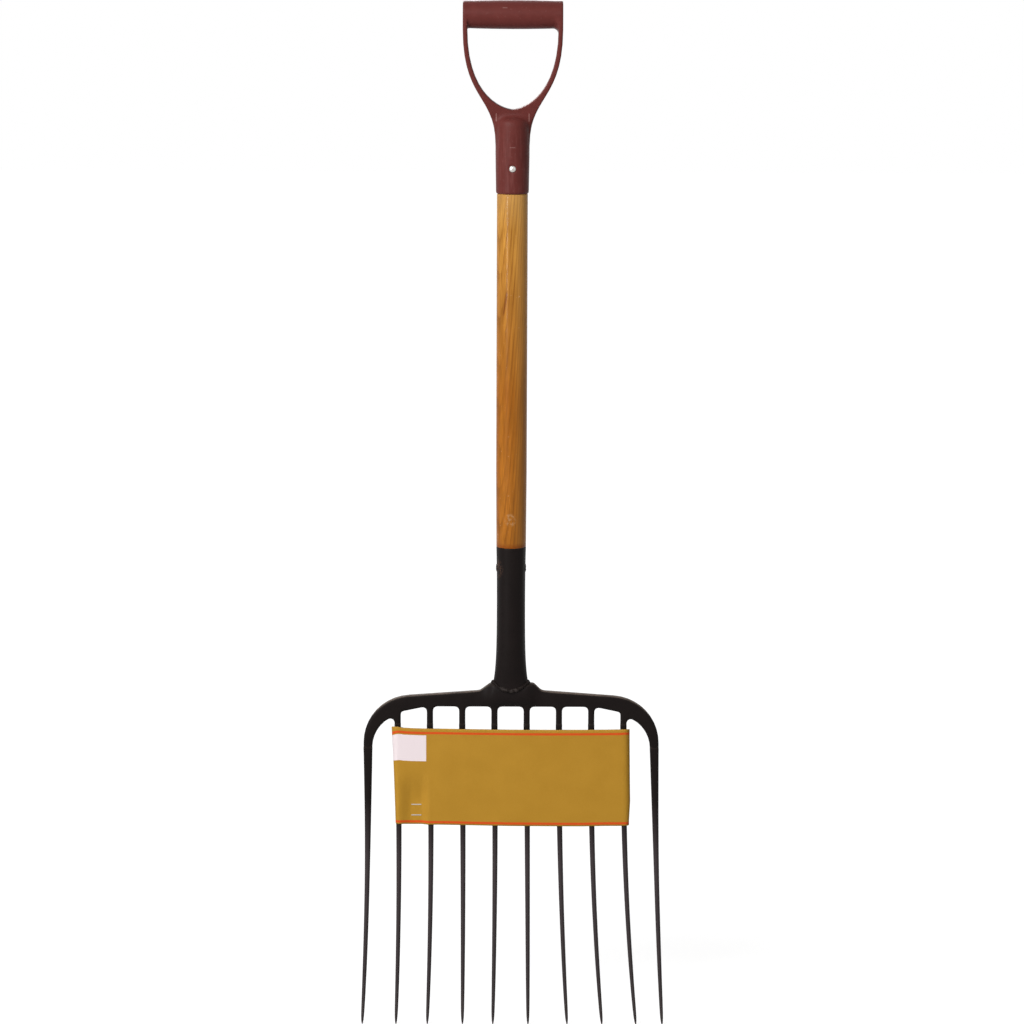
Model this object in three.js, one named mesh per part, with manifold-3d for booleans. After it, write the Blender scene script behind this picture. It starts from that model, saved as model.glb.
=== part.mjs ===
// Ten-tine ensilage fork with a wooden shaft and a moulded D-grip, as it hangs from a peg.
// Millimetres, +Z up, the hollow side of the tines faces -Y.
// The origin is under the middle of the grip bar, where the peg carries it.
import * as THREE from 'three';
import { mergeVertices } from 'three/addons/utils/BufferGeometryUtils.js';
import Module from 'manifold-3d';

const wasm = await Module();
wasm.setup();

// Clearances and facets
const fit = 0.3;
const overrun = 2;
const chordError = 0.2;
const arcSteps = 4;
const weldDistance = 0.001;

// Tines: the inner eight are evenly spaced, the outer two are stouter and stand a little closer
const tineCount = 10;
const tinePitch = 41.55;
const leftOuterPitch = 38.4;
const rightOuterPitch = 40;
const tineWidth = 8.1;
const outerTineWidth = 11.4;
const tineStraightLength = 136;
const tineBendRadius = 457;
const tineBendAngle = THREE.MathUtils.degToRad(32);
const outerRootDrop = 31;

// Position along a tine, then its thickness as a share of the root's
const tineTaperShares = [
  [0, 1], [0.12, 0.96], [0.25, 0.9], [0.36, 0.86], [0.46, 0.82], [0.55, 0.78], [0.64, 0.74],
  [0.73, 0.7], [0.82, 0.65], [0.9, 0.59], [0.95, 0.53], [0.975, 0.46], [0.99, 0.34], [1, 0.14],
];
const outerTaperShare = 0.5;
// Where the root is squared off and where it has become oval, and how round each is
const squareCornerShare = 0.5;
const ovalCornerShare = 0.92;
const ovalStartShare = 0.25;
// Sideways lean and bow of each tine at its tip, as shares of the pitch, from the left
const tineLeanShares = [0, 0.15, 0.16, 0.09, 0.13, 0.1, 0.03, 0, 0.02, 0.21];
const tineBowShares = [-0.14, -0.17, -0.21, -0.05, -0.15, -0.03, 0.25, 0.36, 0.39, 0.05];

// Crossbar, forged with the roots of the tines and the boss under the socket
const headThickness = 10;
const headEdge = 2.5;
const headEdgeSteps = 2;
const gapCrownHeight = 24.7;
const outerCrownDrop = 7;
const gapCornerRadius = 5;
const slopedGapCornerRadius = 3.6;
const archCornerRadius = 5.5;
const archSpringHeight = 12.9;
const archFall = 16.9;
const archRadius = 44.8;
const shoulderRadius = 62.5;
const crossbarCentreHeight = 24.5;
const crossbarEndHeight = 10.7;
const bossTopLeftReach = 26;
const bossTopRightReach = 29.5;
const bossFootWidth = 79.5;
const bossHeight = 31.7;
const bossCornerRadius = 2.4;
const bossFootRadius = 8;
const padThickness = 23.4;
const padWidth = 51;
const padFootWidth = 64;
const padRise = 4;
const padEdge = 5;
const padEdgeSteps = 3;
const padCornerRadius = 6.5;

// Socket: a round tube, flattened at its mouth, whose end is scalloped to sit on the boss
const socketLength = 177.3;
const socketWall = 2;
const socketWaistRadius = 18.05;
const socketRimFlare = 0.95;
const socketRimFlareLength = 30;
const mouthHalfWidth = 22.5;
const mouthHalfDepth = 12.4;
const mouthFlareLength = 24;
const scallopDepth = 9;
const scallopSteps = 14;
const socketSides = 30;
// Heights of the socket's sections above its mouth, as shares of its length
const socketStationShares = [0, 0.03, 0.07, 0.12, 0.19, 0.3, 0.5, 0.78, 0.9, 1];

// Weld bead round the socket's mouth
const beadRadius = 1.8;
const beadRings = 44;
const beadSides = 8;
const beadRippleShare = 0.06;

// Rivet through the socket, from side to side
const socketRivetRadius = 3;
const socketRivetHeadRadius = 5;
const socketRivetHeadHeight = 0.5;
const socketRivetDepth = 27.5;

// Shaft: a tenon in the socket, the bare shaft, and a tenon in the grip
const socketTenonLength = 68.5;
const shaftRadius = 19.5;
const shaftFootRadius = 18.9;
const shaftFootLength = 95;
const shaftLength = 450.8;
const gripTenonLength = 84;
const gripTenonRadius = 17.4;
const tenonChamfer = 2.5;
const shaftSides = 40;

// D-grip: a bored neck, a yoke of two arms and the bar between them
const neckRadius = 21.5;
const neckFootRadius = 20.8;
const neckTaperLength = 50;
const neckFootCorner = 2;
const neckHeight = 95.5;
const neckShoulder = 8;
const neckCrown = 3;
const neckSides = 40;
const gripWidth = 125.3;
const barRadius = 18;
const barEndRadius = 16.8;
const barHeight = 223.3;
const barFilletLeft = 1;
const barFilletRight = 4.5;
const barSides = 32;
const barSteps = 6;
const armThickness = 5.6;
const armEndRadius = 17.2;
const armWaistHalfDepth = 12;
const armWaistDrop = 62;
const webHalfDepth = 5;
const gapFootRise = 10.1;
const yokeFootHeight = 61.3;
const yokeLowerPull = 62.8;
const handGapLowerPull = 8.2;
const yokePullShare = 0.89;
const yokeSteps = 14;
const yokeSideSteps = 6;

// Rivet through the grip's neck, from front to back, on a flat seat at each end
const gripRivetRadius = 2.4;
const gripRivetHeadRadius = 4.4;
const gripRivetHeadHeight = 2.6;
const gripRivetHeight = 32.25;
const rivetSeatRadius = 5.2;
const rivetSeatDepth = 1;
const rivetSides = 20;

// Card sleeve wrapped round the inner eight tines, pinched and stapled by the left-hand edge
const cardHeight = 126.2;
const cardTopDrop = 3.8;
const cardWall = 0.6;
const cardTopSlack = 2.2;
const cardBottomSlack = 0.5;
const pinchShift = 3.2;
const pinchHalfWidth = 6.8;
const leftPinchEase = 12;
const rightPinchEase = 7;
const pinchGap = 1;
const pinchSteps = 4;
const cardEndSteps = 6;
// Heights of the sleeve's sections from its top, and where the pinch starts and is closed
const cardStationShares = [0, 0.4, 0.55, 0.68, 0.78, 1];
const pinchStartShare = 0.4;
const pinchFullShare = 0.78;

// Staples
const stapleLength = 12.7;
const stapleWire = 0.6;
const stapleHeight = 1.1;
const stapleClinch = 5;
const upperStapleDrop = 101;
const stapleSpacing = 14;

// Levels, from the line where the inner tines join the crossbar
const crownLevel = gapCrownHeight;
const bossTop = crownLevel + bossHeight;
const mouthLevel = bossTop + fit;
const rimLevel = mouthLevel + socketLength;
const gripFoot = rimLevel + shaftLength;
const barLevel = gripFoot + barHeight;
const hangLevel = barLevel - barRadius;
const cardTop = -cardTopDrop;
const socketRivetLevel = rimLevel - socketRivetDepth;
const gripRivetLevel = gripFoot + gripRivetHeight;
const stapleLevels = [cardTop - upperStapleDrop, cardTop - upperStapleDrop - stapleSpacing];
const tineLength = tineStraightLength + tineBendRadius * tineBendAngle;

// Materials
const blackEnamel = new THREE.MeshStandardMaterial({ color: 0x221e1c, roughness: 0.42, metalness: 0.1 });
const ash = new THREE.MeshStandardMaterial({ color: 0xb87c34, roughness: 0.4, metalness: 0 });
const burgundyPolypropylene = new THREE.MeshStandardMaterial({
  color: 0x5e2e2a, roughness: 0.5, metalness: 0,
});
const brightSteel = new THREE.MeshStandardMaterial({ color: 0xcfccc6, roughness: 0.3, metalness: 1 });
const goldCard = new THREE.MeshStandardMaterial({ color: 0xba8e32, roughness: 0.6, metalness: 0 });

// A closed geometry as a solid that can be cut and joined
function solid(geometry) {
  const bare = geometry.clone();
  bare.deleteAttribute('normal');
  bare.deleteAttribute('uv');
  const merged = mergeVertices(bare, weldDistance);
  const corners = merged.index.array;
  const kept = [];
  for (let i = 0; i < corners.length; i += 3) {
    const [a, b, c] = [corners[i], corners[i + 1], corners[i + 2]];
    if (a !== b && b !== c && c !== a) kept.push(a, b, c);
  }
  return new wasm.Manifold(new wasm.Mesh({
    numProp: 3,
    vertProperties: Float32Array.from(merged.attributes.position.array),
    triVerts: Uint32Array.from(kept),
  }));
}

// A solid as a named mesh
function piece(name, body, material) {
  const { vertProperties, triVerts } = body.getMesh();
  const geometry = new THREE.BufferGeometry();
  geometry.setAttribute('position', new THREE.BufferAttribute(vertProperties, 3));
  geometry.setIndex(new THREE.BufferAttribute(triVerts, 1));
  geometry.computeVertexNormals();
  const mesh = new THREE.Mesh(geometry, material);
  mesh.name = name;
  return mesh;
}

// Closed skin over rings of points that run upwards, each anticlockwise seen from above
function loft(rings) {
  const size = rings[0].length;
  const points = rings.flat();
  const faces = [];
  for (let ring = 0; ring + 1 < rings.length; ring++) {
    for (let i = 0; i < size; i++) {
      const a = ring * size + i;
      const b = ring * size + (i + 1) % size;
      faces.push(a, b, b + size, a, b + size, a + size);
    }
  }
  const cap = (ring) => THREE.ShapeUtils.triangulateShape(
    ring.map((point) => new THREE.Vector2(point.x, point.y)), [],
  );
  const topStart = points.length - size;
  cap(rings[0]).forEach(([a, b, c]) => faces.push(a, c, b));
  cap(rings.at(-1)).forEach(([a, b, c]) => faces.push(topStart + a, topStart + b, topStart + c));
  const geometry = new THREE.BufferGeometry().setFromPoints(points);
  geometry.setIndex(faces);
  return solid(geometry);
}

// Outline through corners [x, z, radius], each rounded to its radius
function roundedOutline(corners) {
  const points = [];
  corners.forEach(([x, z, radius], index) => {
    const corner = new THREE.Vector2(x, z);
    const [x0, z0] = corners.at(index - 1);
    const [x1, z1] = corners[(index + 1) % corners.length];
    if (radius === 0) {
      points.push(corner);
      return;
    }
    const back = new THREE.Vector2(x0, z0).sub(corner).normalize();
    const ahead = new THREE.Vector2(x1, z1).sub(corner).normalize();
    const half = Math.acos(back.dot(ahead)) / 2;
    const middle = back.clone().add(ahead).normalize();
    const centre = corner.clone().addScaledVector(middle, radius / Math.sin(half));
    const start = corner.clone().addScaledVector(back, radius / Math.tan(half)).sub(centre);
    const turn = Math.PI - 2 * half;
    const side = Math.sign(ahead.cross(back));
    const steps = Math.ceil(turn / (2 * Math.acos(1 - chordError / radius)));
    for (let i = 0; i <= steps; i++) {
      points.push(start.clone().rotateAround(new THREE.Vector2(), side * turn * i / steps).add(centre));
    }
  });
  return new THREE.Shape(points);
}

// Front-view outline as a plate of a thickness, its edges rounded over
function frontPlate(outline, thickness, edge, edgeSteps) {
  const geometry = new THREE.ExtrudeGeometry(outline, {
    depth: thickness - 2 * edge,
    bevelEnabled: edge > 0,
    bevelThickness: edge,
    bevelSize: edge,
    bevelOffset: -edge,
    bevelSegments: edgeSteps,
  });
  geometry.translate(0, 0, edge - thickness / 2);
  geometry.rotateX(Math.PI / 2);
  return solid(geometry);
}

// Profile of [radius, height] turned about Z
function turned(profile, sides) {
  const points = profile.map(([radius, height]) => new THREE.Vector2(radius, height));
  const geometry = new THREE.LatheGeometry(points, sides);
  geometry.rotateX(Math.PI / 2);
  return solid(geometry);
}

// Rod of a radius along an axis, centred on a height
function rod(axis, radius, length, height, sides) {
  const geometry = new THREE.CylinderGeometry(radius, radius, length, sides);
  if (axis === 'x') geometry.rotateZ(Math.PI / 2);
  geometry.translate(0, 0, height);
  return solid(geometry);
}

// Value at a share along a table of [share, value]
function along(table, share) {
  const next = Math.max(1, table.findIndex(([at]) => at >= share));
  const [from, low] = table[next - 1];
  const [to, high] = table[next];
  return THREE.MathUtils.mapLinear(share, from, to, low, high);
}

// Tines, numbered from the left
const isOuter = (tine) => tine === 0 || tine === tineCount - 1;
const rootDrop = (tine) => (isOuter(tine) ? outerRootDrop : 0);

function tineRootX(tine) {
  const middle = (tineCount - 1) / 2;
  const place = tine - middle;
  if (tine === 0) return (1 - middle) * tinePitch - leftOuterPitch;
  if (tine === tineCount - 1) return (middle - 1) * tinePitch + rightOuterPitch;
  return place * tinePitch;
}

function tineHalfWidth(tine, share) {
  const fade = isOuter(tine) ? Math.max(0, 1 - share / outerTaperShare) ** 1.5 : 0;
  return (tineWidth * along(tineTaperShares, share) + (outerTineWidth - tineWidth) * fade) / 2;
}

function tineX(tine, share) {
  return tineRootX(tine) + tinePitch * (tineLeanShares[tine] * share + tineBowShares[tine] * share ** 2);
}

// Oval or squared section of a tine, anticlockwise from above, at a share of its length
function tineSection(tine, share) {
  const drop = THREE.MathUtils.lerp(rootDrop(tine), tineLength, share);
  const bend = Math.max(0, drop - tineStraightLength) / tineBendRadius;
  const y = -tineBendRadius * (1 - Math.cos(bend));
  const z = -Math.min(drop, tineStraightLength) - tineBendRadius * Math.sin(bend);
  const halfWidth = tineHalfWidth(tine, share);
  const halfDepth = headThickness / 2 * along(tineTaperShares, share);
  const rootCorner = headEdge / tineHalfWidth(tine, 0);
  const ovality = THREE.MathUtils.smoothstep(share, 0, ovalStartShare);
  const cornerX = halfWidth * THREE.MathUtils.lerp(rootCorner, ovalCornerShare, ovality);
  const cornerY = halfDepth * THREE.MathUtils.lerp(squareCornerShare, ovalCornerShare, ovality);
  const ring = [];
  for (const [signX, signY, start] of [[1, 1, 0], [-1, 1, 1], [-1, -1, 2], [1, -1, 3]]) {
    for (let i = 0; i <= headEdgeSteps; i++) {
      const angle = (start + i / headEdgeSteps) * Math.PI / 2;
      const across = signX * (halfWidth - cornerX) + cornerX * Math.cos(angle);
      const deep = signY * (halfDepth - cornerY) + cornerY * Math.sin(angle);
      ring.push(new THREE.Vector3(
        tineX(tine, share) + across,
        y + deep * Math.cos(bend),
        z - deep * Math.sin(bend),
      ));
    }
  }
  return ring;
}

function makeTine(tine) {
  return loft(tineTaperShares.map(([share]) => tineSection(tine, share)).reverse());
}

// Front-view corners of one half of the crossbar, from the boss round to the middle gap, measured
// outwards from the middle: side is 1 for the right half and -1 for the left
function crossbarHalf(side) {
  const outer = tineCount - 1;
  const reachOf = (tine) => side * tineRootX(side > 0 ? tine : outer - tine);
  const bossTopReach = side > 0 ? bossTopRightReach : bossTopLeftReach;
  const edge = reachOf(outer) + outerTineWidth / 2;
  const innerEdge = edge - outerTineWidth;
  const topAt = (x) => crownLevel
    + THREE.MathUtils.mapLinear(x, 0, edge, crossbarCentreHeight, crossbarEndHeight);
  const corners = [
    [bossTopReach, bossTop, bossCornerRadius],
    [bossFootWidth / 2, topAt(bossFootWidth / 2), bossFootRadius],
    [edge, topAt(edge), shoulderRadius],
    [edge, -outerRootDrop - overrun, 0],
    [innerEdge, -outerRootDrop - overrun, 0],
    [innerEdge, archSpringHeight - archFall, archRadius],
  ];
  for (let tine = outer - 1; tine >= tineCount / 2; tine--) {
    const far = reachOf(tine) + tineWidth / 2;
    const near = reachOf(tine) - tineWidth / 2;
    const atArch = tine === outer - 1;
    corners.push(
      atArch ? [far, archSpringHeight, archCornerRadius] : [far, crownLevel, gapCornerRadius],
      [far, -overrun, 0],
      [near, -overrun, 0],
      atArch ? [near, crownLevel - outerCrownDrop, slopedGapCornerRadius] : [near, crownLevel, gapCornerRadius],
    );
  }
  return corners;
}

// Half-axes of the socket's outside at a height above its mouth
function socketHalfAxes(height) {
  const flat = Math.min(1, Math.exp(-height / mouthFlareLength));
  const rim = socketRimFlare * Math.exp((height - socketLength) / socketRimFlareLength);
  return [
    THREE.MathUtils.lerp(socketWaistRadius, mouthHalfWidth, flat) + rim,
    THREE.MathUtils.lerp(socketWaistRadius, mouthHalfDepth, flat) + rim,
  ];
}

// Oval body that follows the socket, grown by a distance, between two heights above the mouth
function socketBody(grow, bottom, top) {
  const heights = socketStationShares.map((share) => share * socketLength);
  const inside = heights.filter((height) => height > bottom + fit && height < top - fit);
  const rings = [bottom, ...inside, top].map((height) => {
    const [a, b] = socketHalfAxes(height);
    const ring = [];
    for (let i = 0; i < socketSides; i++) {
      const angle = i / socketSides * 2 * Math.PI;
      ring.push(new THREE.Vector3(
        (a + grow) * Math.cos(angle),
        (b + grow) * Math.sin(angle),
        mouthLevel + height,
      ));
    }
    return ring;
  });
  return loft(rings);
}

// Scallop that lets the socket's front and back lips down over the boss, between the two places
// where the mouth stands on the boss's plate
const plateShare = (headThickness / 2 + fit) / mouthHalfDepth;
const scallopHalfWidth = mouthHalfWidth * Math.sqrt(1 - plateShare ** 2);
const scallopRadius = (scallopHalfWidth ** 2 + scallopDepth ** 2) / (2 * scallopDepth);
function scallopLevel(x) {
  const reach = Math.min(Math.abs(x), scallopHalfWidth);
  return mouthLevel - scallopDepth + scallopRadius - Math.sqrt(scallopRadius ** 2 - reach ** 2);
}

// Everything above the scalloped edge, raised by a distance
function aboveScallop(raise) {
  const side = padFootWidth / 2 + overrun;
  const corners = [];
  for (let i = 0; i <= scallopSteps; i++) {
    const x = THREE.MathUtils.lerp(-scallopHalfWidth, scallopHalfWidth, i / scallopSteps);
    corners.push(new THREE.Vector2(x, scallopLevel(x) + raise));
  }
  corners.push(new THREE.Vector2(side, mouthLevel + raise));
  corners.push(new THREE.Vector2(side, rimLevel + overrun));
  corners.push(new THREE.Vector2(-side, rimLevel + overrun));
  corners.push(new THREE.Vector2(-side, mouthLevel + raise));
  return frontPlate(new THREE.Shape(corners), 2 * (padThickness + overrun), 0, 1);
}

// Front-view shape of the boss and crossbar with every tine's root
function makeHeadPlate() {
  const left = crossbarHalf(-1).map(([reach, z, radius]) => [-reach, z, radius]).reverse();
  const outline = roundedOutline([...crossbarHalf(1), ...left]);
  return frontPlate(outline, headThickness, headEdge, headEdgeSteps);
}

// Crossbar with the boss's thick pad and the spigot that stands up inside the socket
function makeCrossbar() {
  const pad = frontPlate(roundedOutline([
    [-padWidth / 2, bossTop + overrun, padCornerRadius],
    [-padFootWidth / 2, crownLevel + padRise, padCornerRadius],
    [padFootWidth / 2, crownLevel + padRise, padCornerRadius],
    [padWidth / 2, bossTop + overrun, padCornerRadius],
  ]), padThickness, padEdge, padEdgeSteps);
  const spigot = socketBody(-socketWall - fit, -scallopDepth - padCornerRadius, -fit);
  const innerCut = new THREE.BoxGeometry(
    2 * tineRootX(tineCount - 2) + tineWidth + 2 * fit, 2 * padThickness, 2 * overrun,
  );
  innerCut.translate(0, 0, -overrun);
  const outerCut = new THREE.BoxGeometry(3 * tineRootX(tineCount - 1), 2 * padThickness, 2 * overrun);
  outerCut.translate(0, 0, -outerRootDrop - overrun);
  return makeHeadPlate()
    .add(pad.subtract(aboveScallop(-fit)))
    .add(spigot)
    .subtract(solid(innerCut))
    .subtract(solid(outerCut));
}

// Room for the boss's plate below the mouth
function plateSlot() {
  const depth = scallopDepth + overrun;
  const slot = new THREE.BoxGeometry(bossFootWidth, headThickness + 2 * fit, depth);
  slot.translate(0, 0, mouthLevel - depth / 2);
  return solid(slot);
}

function makeSocket() {
  const bore = socketBody(-socketWall, -scallopDepth - overrun, socketLength + overrun);
  return socketBody(0, -scallopDepth - overrun, socketLength)
    .intersect(aboveScallop(0))
    .subtract(bore)
    .subtract(plateSlot())
    .subtract(rod('x', socketRivetRadius + fit, 4 * socketWaistRadius, socketRivetLevel, rivetSides));
}

// Bead that follows the socket's scalloped edge, clear of the socket and of the boss
function makeWeld() {
  const points = [];
  const faces = [];
  for (let ring = 0; ring < beadRings; ring++) {
    const angle = ring / beadRings * 2 * Math.PI;
    const x = mouthHalfWidth * Math.cos(angle);
    const radius = beadRadius * (1 + (ring % 2 === 0 ? beadRippleShare : -beadRippleShare));
    const centre = new THREE.Vector3(x, mouthHalfDepth * Math.sin(angle), scallopLevel(x));
    const outward = new THREE.Vector3(centre.x / mouthHalfWidth ** 2, centre.y / mouthHalfDepth ** 2, 0);
    outward.normalize();
    for (let side = 0; side < beadSides; side++) {
      const turn = side / beadSides * 2 * Math.PI;
      const point = centre.clone().addScaledVector(outward, radius * Math.cos(turn));
      point.z += radius * Math.sin(turn);
      points.push(point);
      const a = ring * beadSides + side;
      const b = ring * beadSides + (side + 1) % beadSides;
      const next = beadSides * (ring + 1 < beadRings ? 1 : 1 - beadRings);
      faces.push(a, a + next, b + next, a, b + next, b);
    }
  }
  const geometry = new THREE.BufferGeometry().setFromPoints(points);
  geometry.setIndex(faces);
  const socketCleared = socketBody(fit, -scallopDepth - overrun, socketLength).intersect(aboveScallop(-fit));
  const depth = scallopDepth + 2 * beadRadius;
  const padCleared = new THREE.BoxGeometry(padFootWidth, padThickness + 2 * fit, depth);
  padCleared.translate(0, 0, mouthLevel - depth / 2);
  return solid(geometry)
    .subtract(socketCleared)
    .subtract(solid(padCleared).subtract(aboveScallop(0)))
    .subtract(plateSlot());
}

// Rivet with two low heads, hammered down on to the round of the socket
function makeSocketRivet() {
  const [surface] = socketHalfAxes(socketLength - socketRivetDepth);
  const span = 2 * surface + socketRivetHeadHeight;
  const shank = rod('x', socketRivetRadius, span, socketRivetLevel, rivetSides);
  const socketCleared = socketBody(fit, 0, socketLength);
  return [-1, 1].reduce((rivet, side) => {
    const head = new THREE.SphereGeometry(1, rivetSides, 2 * arcSteps);
    head.rotateZ(Math.PI / 2);
    head.scale(fit + socketRivetHeadHeight, socketRivetHeadRadius, socketRivetHeadRadius);
    head.translate(side * surface, 0, socketRivetLevel);
    return rivet.add(solid(head).subtract(socketCleared));
  }, shank);
}

// Arc of [radius, height] points about a centre, between two angles
function arc(centreRadius, centreHeight, radius, from, to) {
  return Array.from({ length: arcSteps + 1 }, (_, i) => {
    const angle = THREE.MathUtils.lerp(from, to, i / arcSteps);
    return [centreRadius + radius * Math.cos(angle), centreHeight + radius * Math.sin(angle)];
  });
}

// Shaft, whose lower tenon follows the taper of the socket's bore
function makeShaft() {
  const gripTop = gripFoot + gripTenonLength;
  const bare = turned([
    [0, rimLevel],
    [shaftFootRadius, rimLevel],
    [shaftRadius, rimLevel + shaftFootLength],
    [shaftRadius, gripFoot],
    [gripTenonRadius, gripFoot],
    [gripTenonRadius, gripTop - tenonChamfer],
    [gripTenonRadius - tenonChamfer, gripTop],
    [0, gripTop],
  ], shaftSides);
  const tenon = socketBody(-socketWall - fit, socketLength - socketTenonLength, socketLength + overrun);
  const throughLength = 4 * shaftRadius;
  return bare
    .add(tenon)
    .subtract(rod('x', socketRivetRadius + fit, throughLength, socketRivetLevel, rivetSides))
    .subtract(rod('y', gripRivetRadius + fit, throughLength, gripRivetLevel, rivetSides));
}

function makeNeck() {
  const top = gripFoot + neckHeight;
  return turned([
    [0, gripFoot],
    ...arc(neckFootRadius - neckFootCorner, gripFoot + neckFootCorner, neckFootCorner, -Math.PI / 2, 0),
    [neckRadius, gripFoot + neckTaperLength],
    ...arc(neckRadius - neckShoulder, top - neckShoulder, neckShoulder, 0, Math.PI / 2),
    [0, top + neckCrown],
  ], neckSides);
}

// Side view of the yoke: thin webs by the neck that widen into a strap, then into round ends
// about the bar's axis
function yokeSide() {
  const foot = gripFoot + yokeFootHeight - overrun;
  const waist = hangLevel - armWaistDrop;
  const rise = (waist - foot) / 3;
  const pull = (barLevel - waist) / 3;
  const profile = new THREE.Shape();
  profile.moveTo(webHalfDepth, foot);
  profile.bezierCurveTo(
    webHalfDepth, foot + rise, armWaistHalfDepth, waist - rise, armWaistHalfDepth, waist,
  );
  profile.bezierCurveTo(
    armWaistHalfDepth, waist + pull, armEndRadius, barLevel - pull, armEndRadius, barLevel,
  );
  profile.absarc(0, barLevel, armEndRadius, 0, Math.PI, false);
  profile.bezierCurveTo(
    -armEndRadius, barLevel - pull, -armWaistHalfDepth, waist + pull, -armWaistHalfDepth, waist,
  );
  profile.bezierCurveTo(
    -armWaistHalfDepth, waist - rise, -webHalfDepth, foot + rise, -webHalfDepth, foot,
  );
  const geometry = new THREE.ExtrudeGeometry(profile, {
    depth: 2 * gripWidth, bevelEnabled: false, curveSegments: yokeSideSteps,
  });
  geometry.translate(0, 0, -gripWidth);
  geometry.rotateX(Math.PI / 2);
  geometry.rotateZ(Math.PI / 2);
  return solid(geometry);
}

// Front view of the yoke: two arms that curve in to the neck round the hand gap
function yokeFront() {
  const half = gripWidth / 2;
  const top = barLevel + armEndRadius + overrun;
  const foot = gripFoot + yokeFootHeight;
  const gapFoot = gripFoot + neckHeight + gapFootRise;
  const upperPull = yokePullShare * (hangLevel - gapFoot);
  const outline = new THREE.Shape();
  outline.moveTo(-half, top);
  outline.lineTo(-half, hangLevel);
  outline.bezierCurveTo(-half, hangLevel - upperPull, -neckRadius, foot + yokeLowerPull, -neckRadius, foot);
  outline.lineTo(neckRadius, foot);
  outline.bezierCurveTo(neckRadius, foot + yokeLowerPull, half, hangLevel - upperPull, half, hangLevel);
  outline.lineTo(half, top);
  const inner = half - armThickness;
  const gap = new THREE.Path();
  gap.moveTo(inner, barLevel);
  gap.lineTo(inner, hangLevel);
  gap.bezierCurveTo(inner, hangLevel - upperPull, handGapLowerPull, gapFoot, 0, gapFoot);
  gap.bezierCurveTo(-handGapLowerPull, gapFoot, -inner, hangLevel - upperPull, -inner, hangLevel);
  gap.lineTo(-inner, barLevel);
  outline.holes.push(gap);
  const geometry = new THREE.ExtrudeGeometry(outline, {
    depth: 4 * armEndRadius, bevelEnabled: false, curveSegments: yokeSteps,
  });
  geometry.translate(0, 0, -2 * armEndRadius);
  geometry.rotateX(Math.PI / 2);
  return solid(geometry);
}

// Profile of [radius, distance from the middle] turned about the bar's axis
function turnedAcross(profile) {
  const points = profile.map(([radius, x]) => new THREE.Vector2(radius, x));
  const geometry = new THREE.LatheGeometry(points, barSides);
  geometry.rotateZ(-Math.PI / 2);
  geometry.translate(0, 0, barLevel);
  return solid(geometry);
}

const barrelRadius = (x) => barRadius - (barRadius - barEndRadius) * (2 * x / gripWidth) ** 2;

// Barrel-shaped bar
function makeBar() {
  const half = gripWidth / 2;
  const profile = [[0, -half]];
  for (let i = 0; i <= barSteps; i++) {
    const x = THREE.MathUtils.lerp(-half, half, i / barSteps);
    profile.push([barrelRadius(x), x]);
  }
  profile.push([0, half]);
  return turnedAcross(profile);
}

// Fillet between the bar and its right-hand arm
function barFillet(radius) {
  const inner = gripWidth / 2 - armThickness;
  const foot = barrelRadius(inner - radius);
  return turnedAcross([
    [0, inner - radius],
    ...arc(foot + radius, inner - radius, radius, Math.PI, Math.PI / 2),
    [foot + radius, inner + overrun],
    [0, inner + overrun],
  ]);
}

// Outer face of the neck at the rivet, and the flat its heads sit on
const neckTaperShare = gripRivetHeight / neckTaperLength;
const rivetSeat = THREE.MathUtils.lerp(neckFootRadius, neckRadius, neckTaperShare) - rivetSeatDepth;

// One moulding: bored neck, yoke and bar
function makeGrip() {
  const side = yokeSide();
  const bore = new THREE.CylinderGeometry(
    gripTenonRadius + fit, gripTenonRadius + fit, gripTenonLength + 2 * overrun, shaftSides,
  );
  bore.rotateX(Math.PI / 2);
  bore.translate(0, 0, gripFoot + gripTenonLength / 2);
  const through = rod('y', gripRivetRadius + fit, 4 * neckRadius, gripRivetLevel, rivetSides);
  const body = yokeFront().intersect(side)
    .add(makeBar())
    .add(barFillet(barFilletRight).intersect(side))
    .add(barFillet(barFilletLeft).mirror([1, 0, 0]).intersect(side))
    .add(makeNeck())
    .subtract(solid(bore))
    .subtract(through);
  return [-1, 1].reduce((grip, way) => {
    const seat = new THREE.CylinderGeometry(rivetSeatRadius, rivetSeatRadius, neckRadius, rivetSides);
    seat.translate(0, way * (rivetSeat + neckRadius / 2), gripRivetLevel);
    return grip.subtract(solid(seat));
  }, body);
}

// Rivet with a domed head on each seat
function makeGripRivet() {
  const shank = rod('y', gripRivetRadius, 2 * rivetSeat + gripRivetHeadHeight, gripRivetLevel, rivetSides);
  const dome = arc(0, 0, 1, 0, Math.PI / 2).map(([radius, height]) => new THREE.Vector2(
    radius * gripRivetHeadRadius, rivetSeat + height * gripRivetHeadHeight,
  ));
  const head = new THREE.LatheGeometry([new THREE.Vector2(0, rivetSeat), ...dome], rivetSides);
  const back = head.clone().translate(0, 0, gripRivetLevel);
  const front = head.clone().rotateX(Math.PI).translate(0, 0, gripRivetLevel);
  return shank.add(solid(back)).add(solid(front));
}

// How far the sleeve's panels are drawn together at a share of its height
function pinchAt(share) {
  return THREE.MathUtils.smoothstep(share, pinchStartShare, pinchFullShare);
}

const pinchX = (tineRootX(1) + tineRootX(2)) / 2 + pinchShift;

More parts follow.
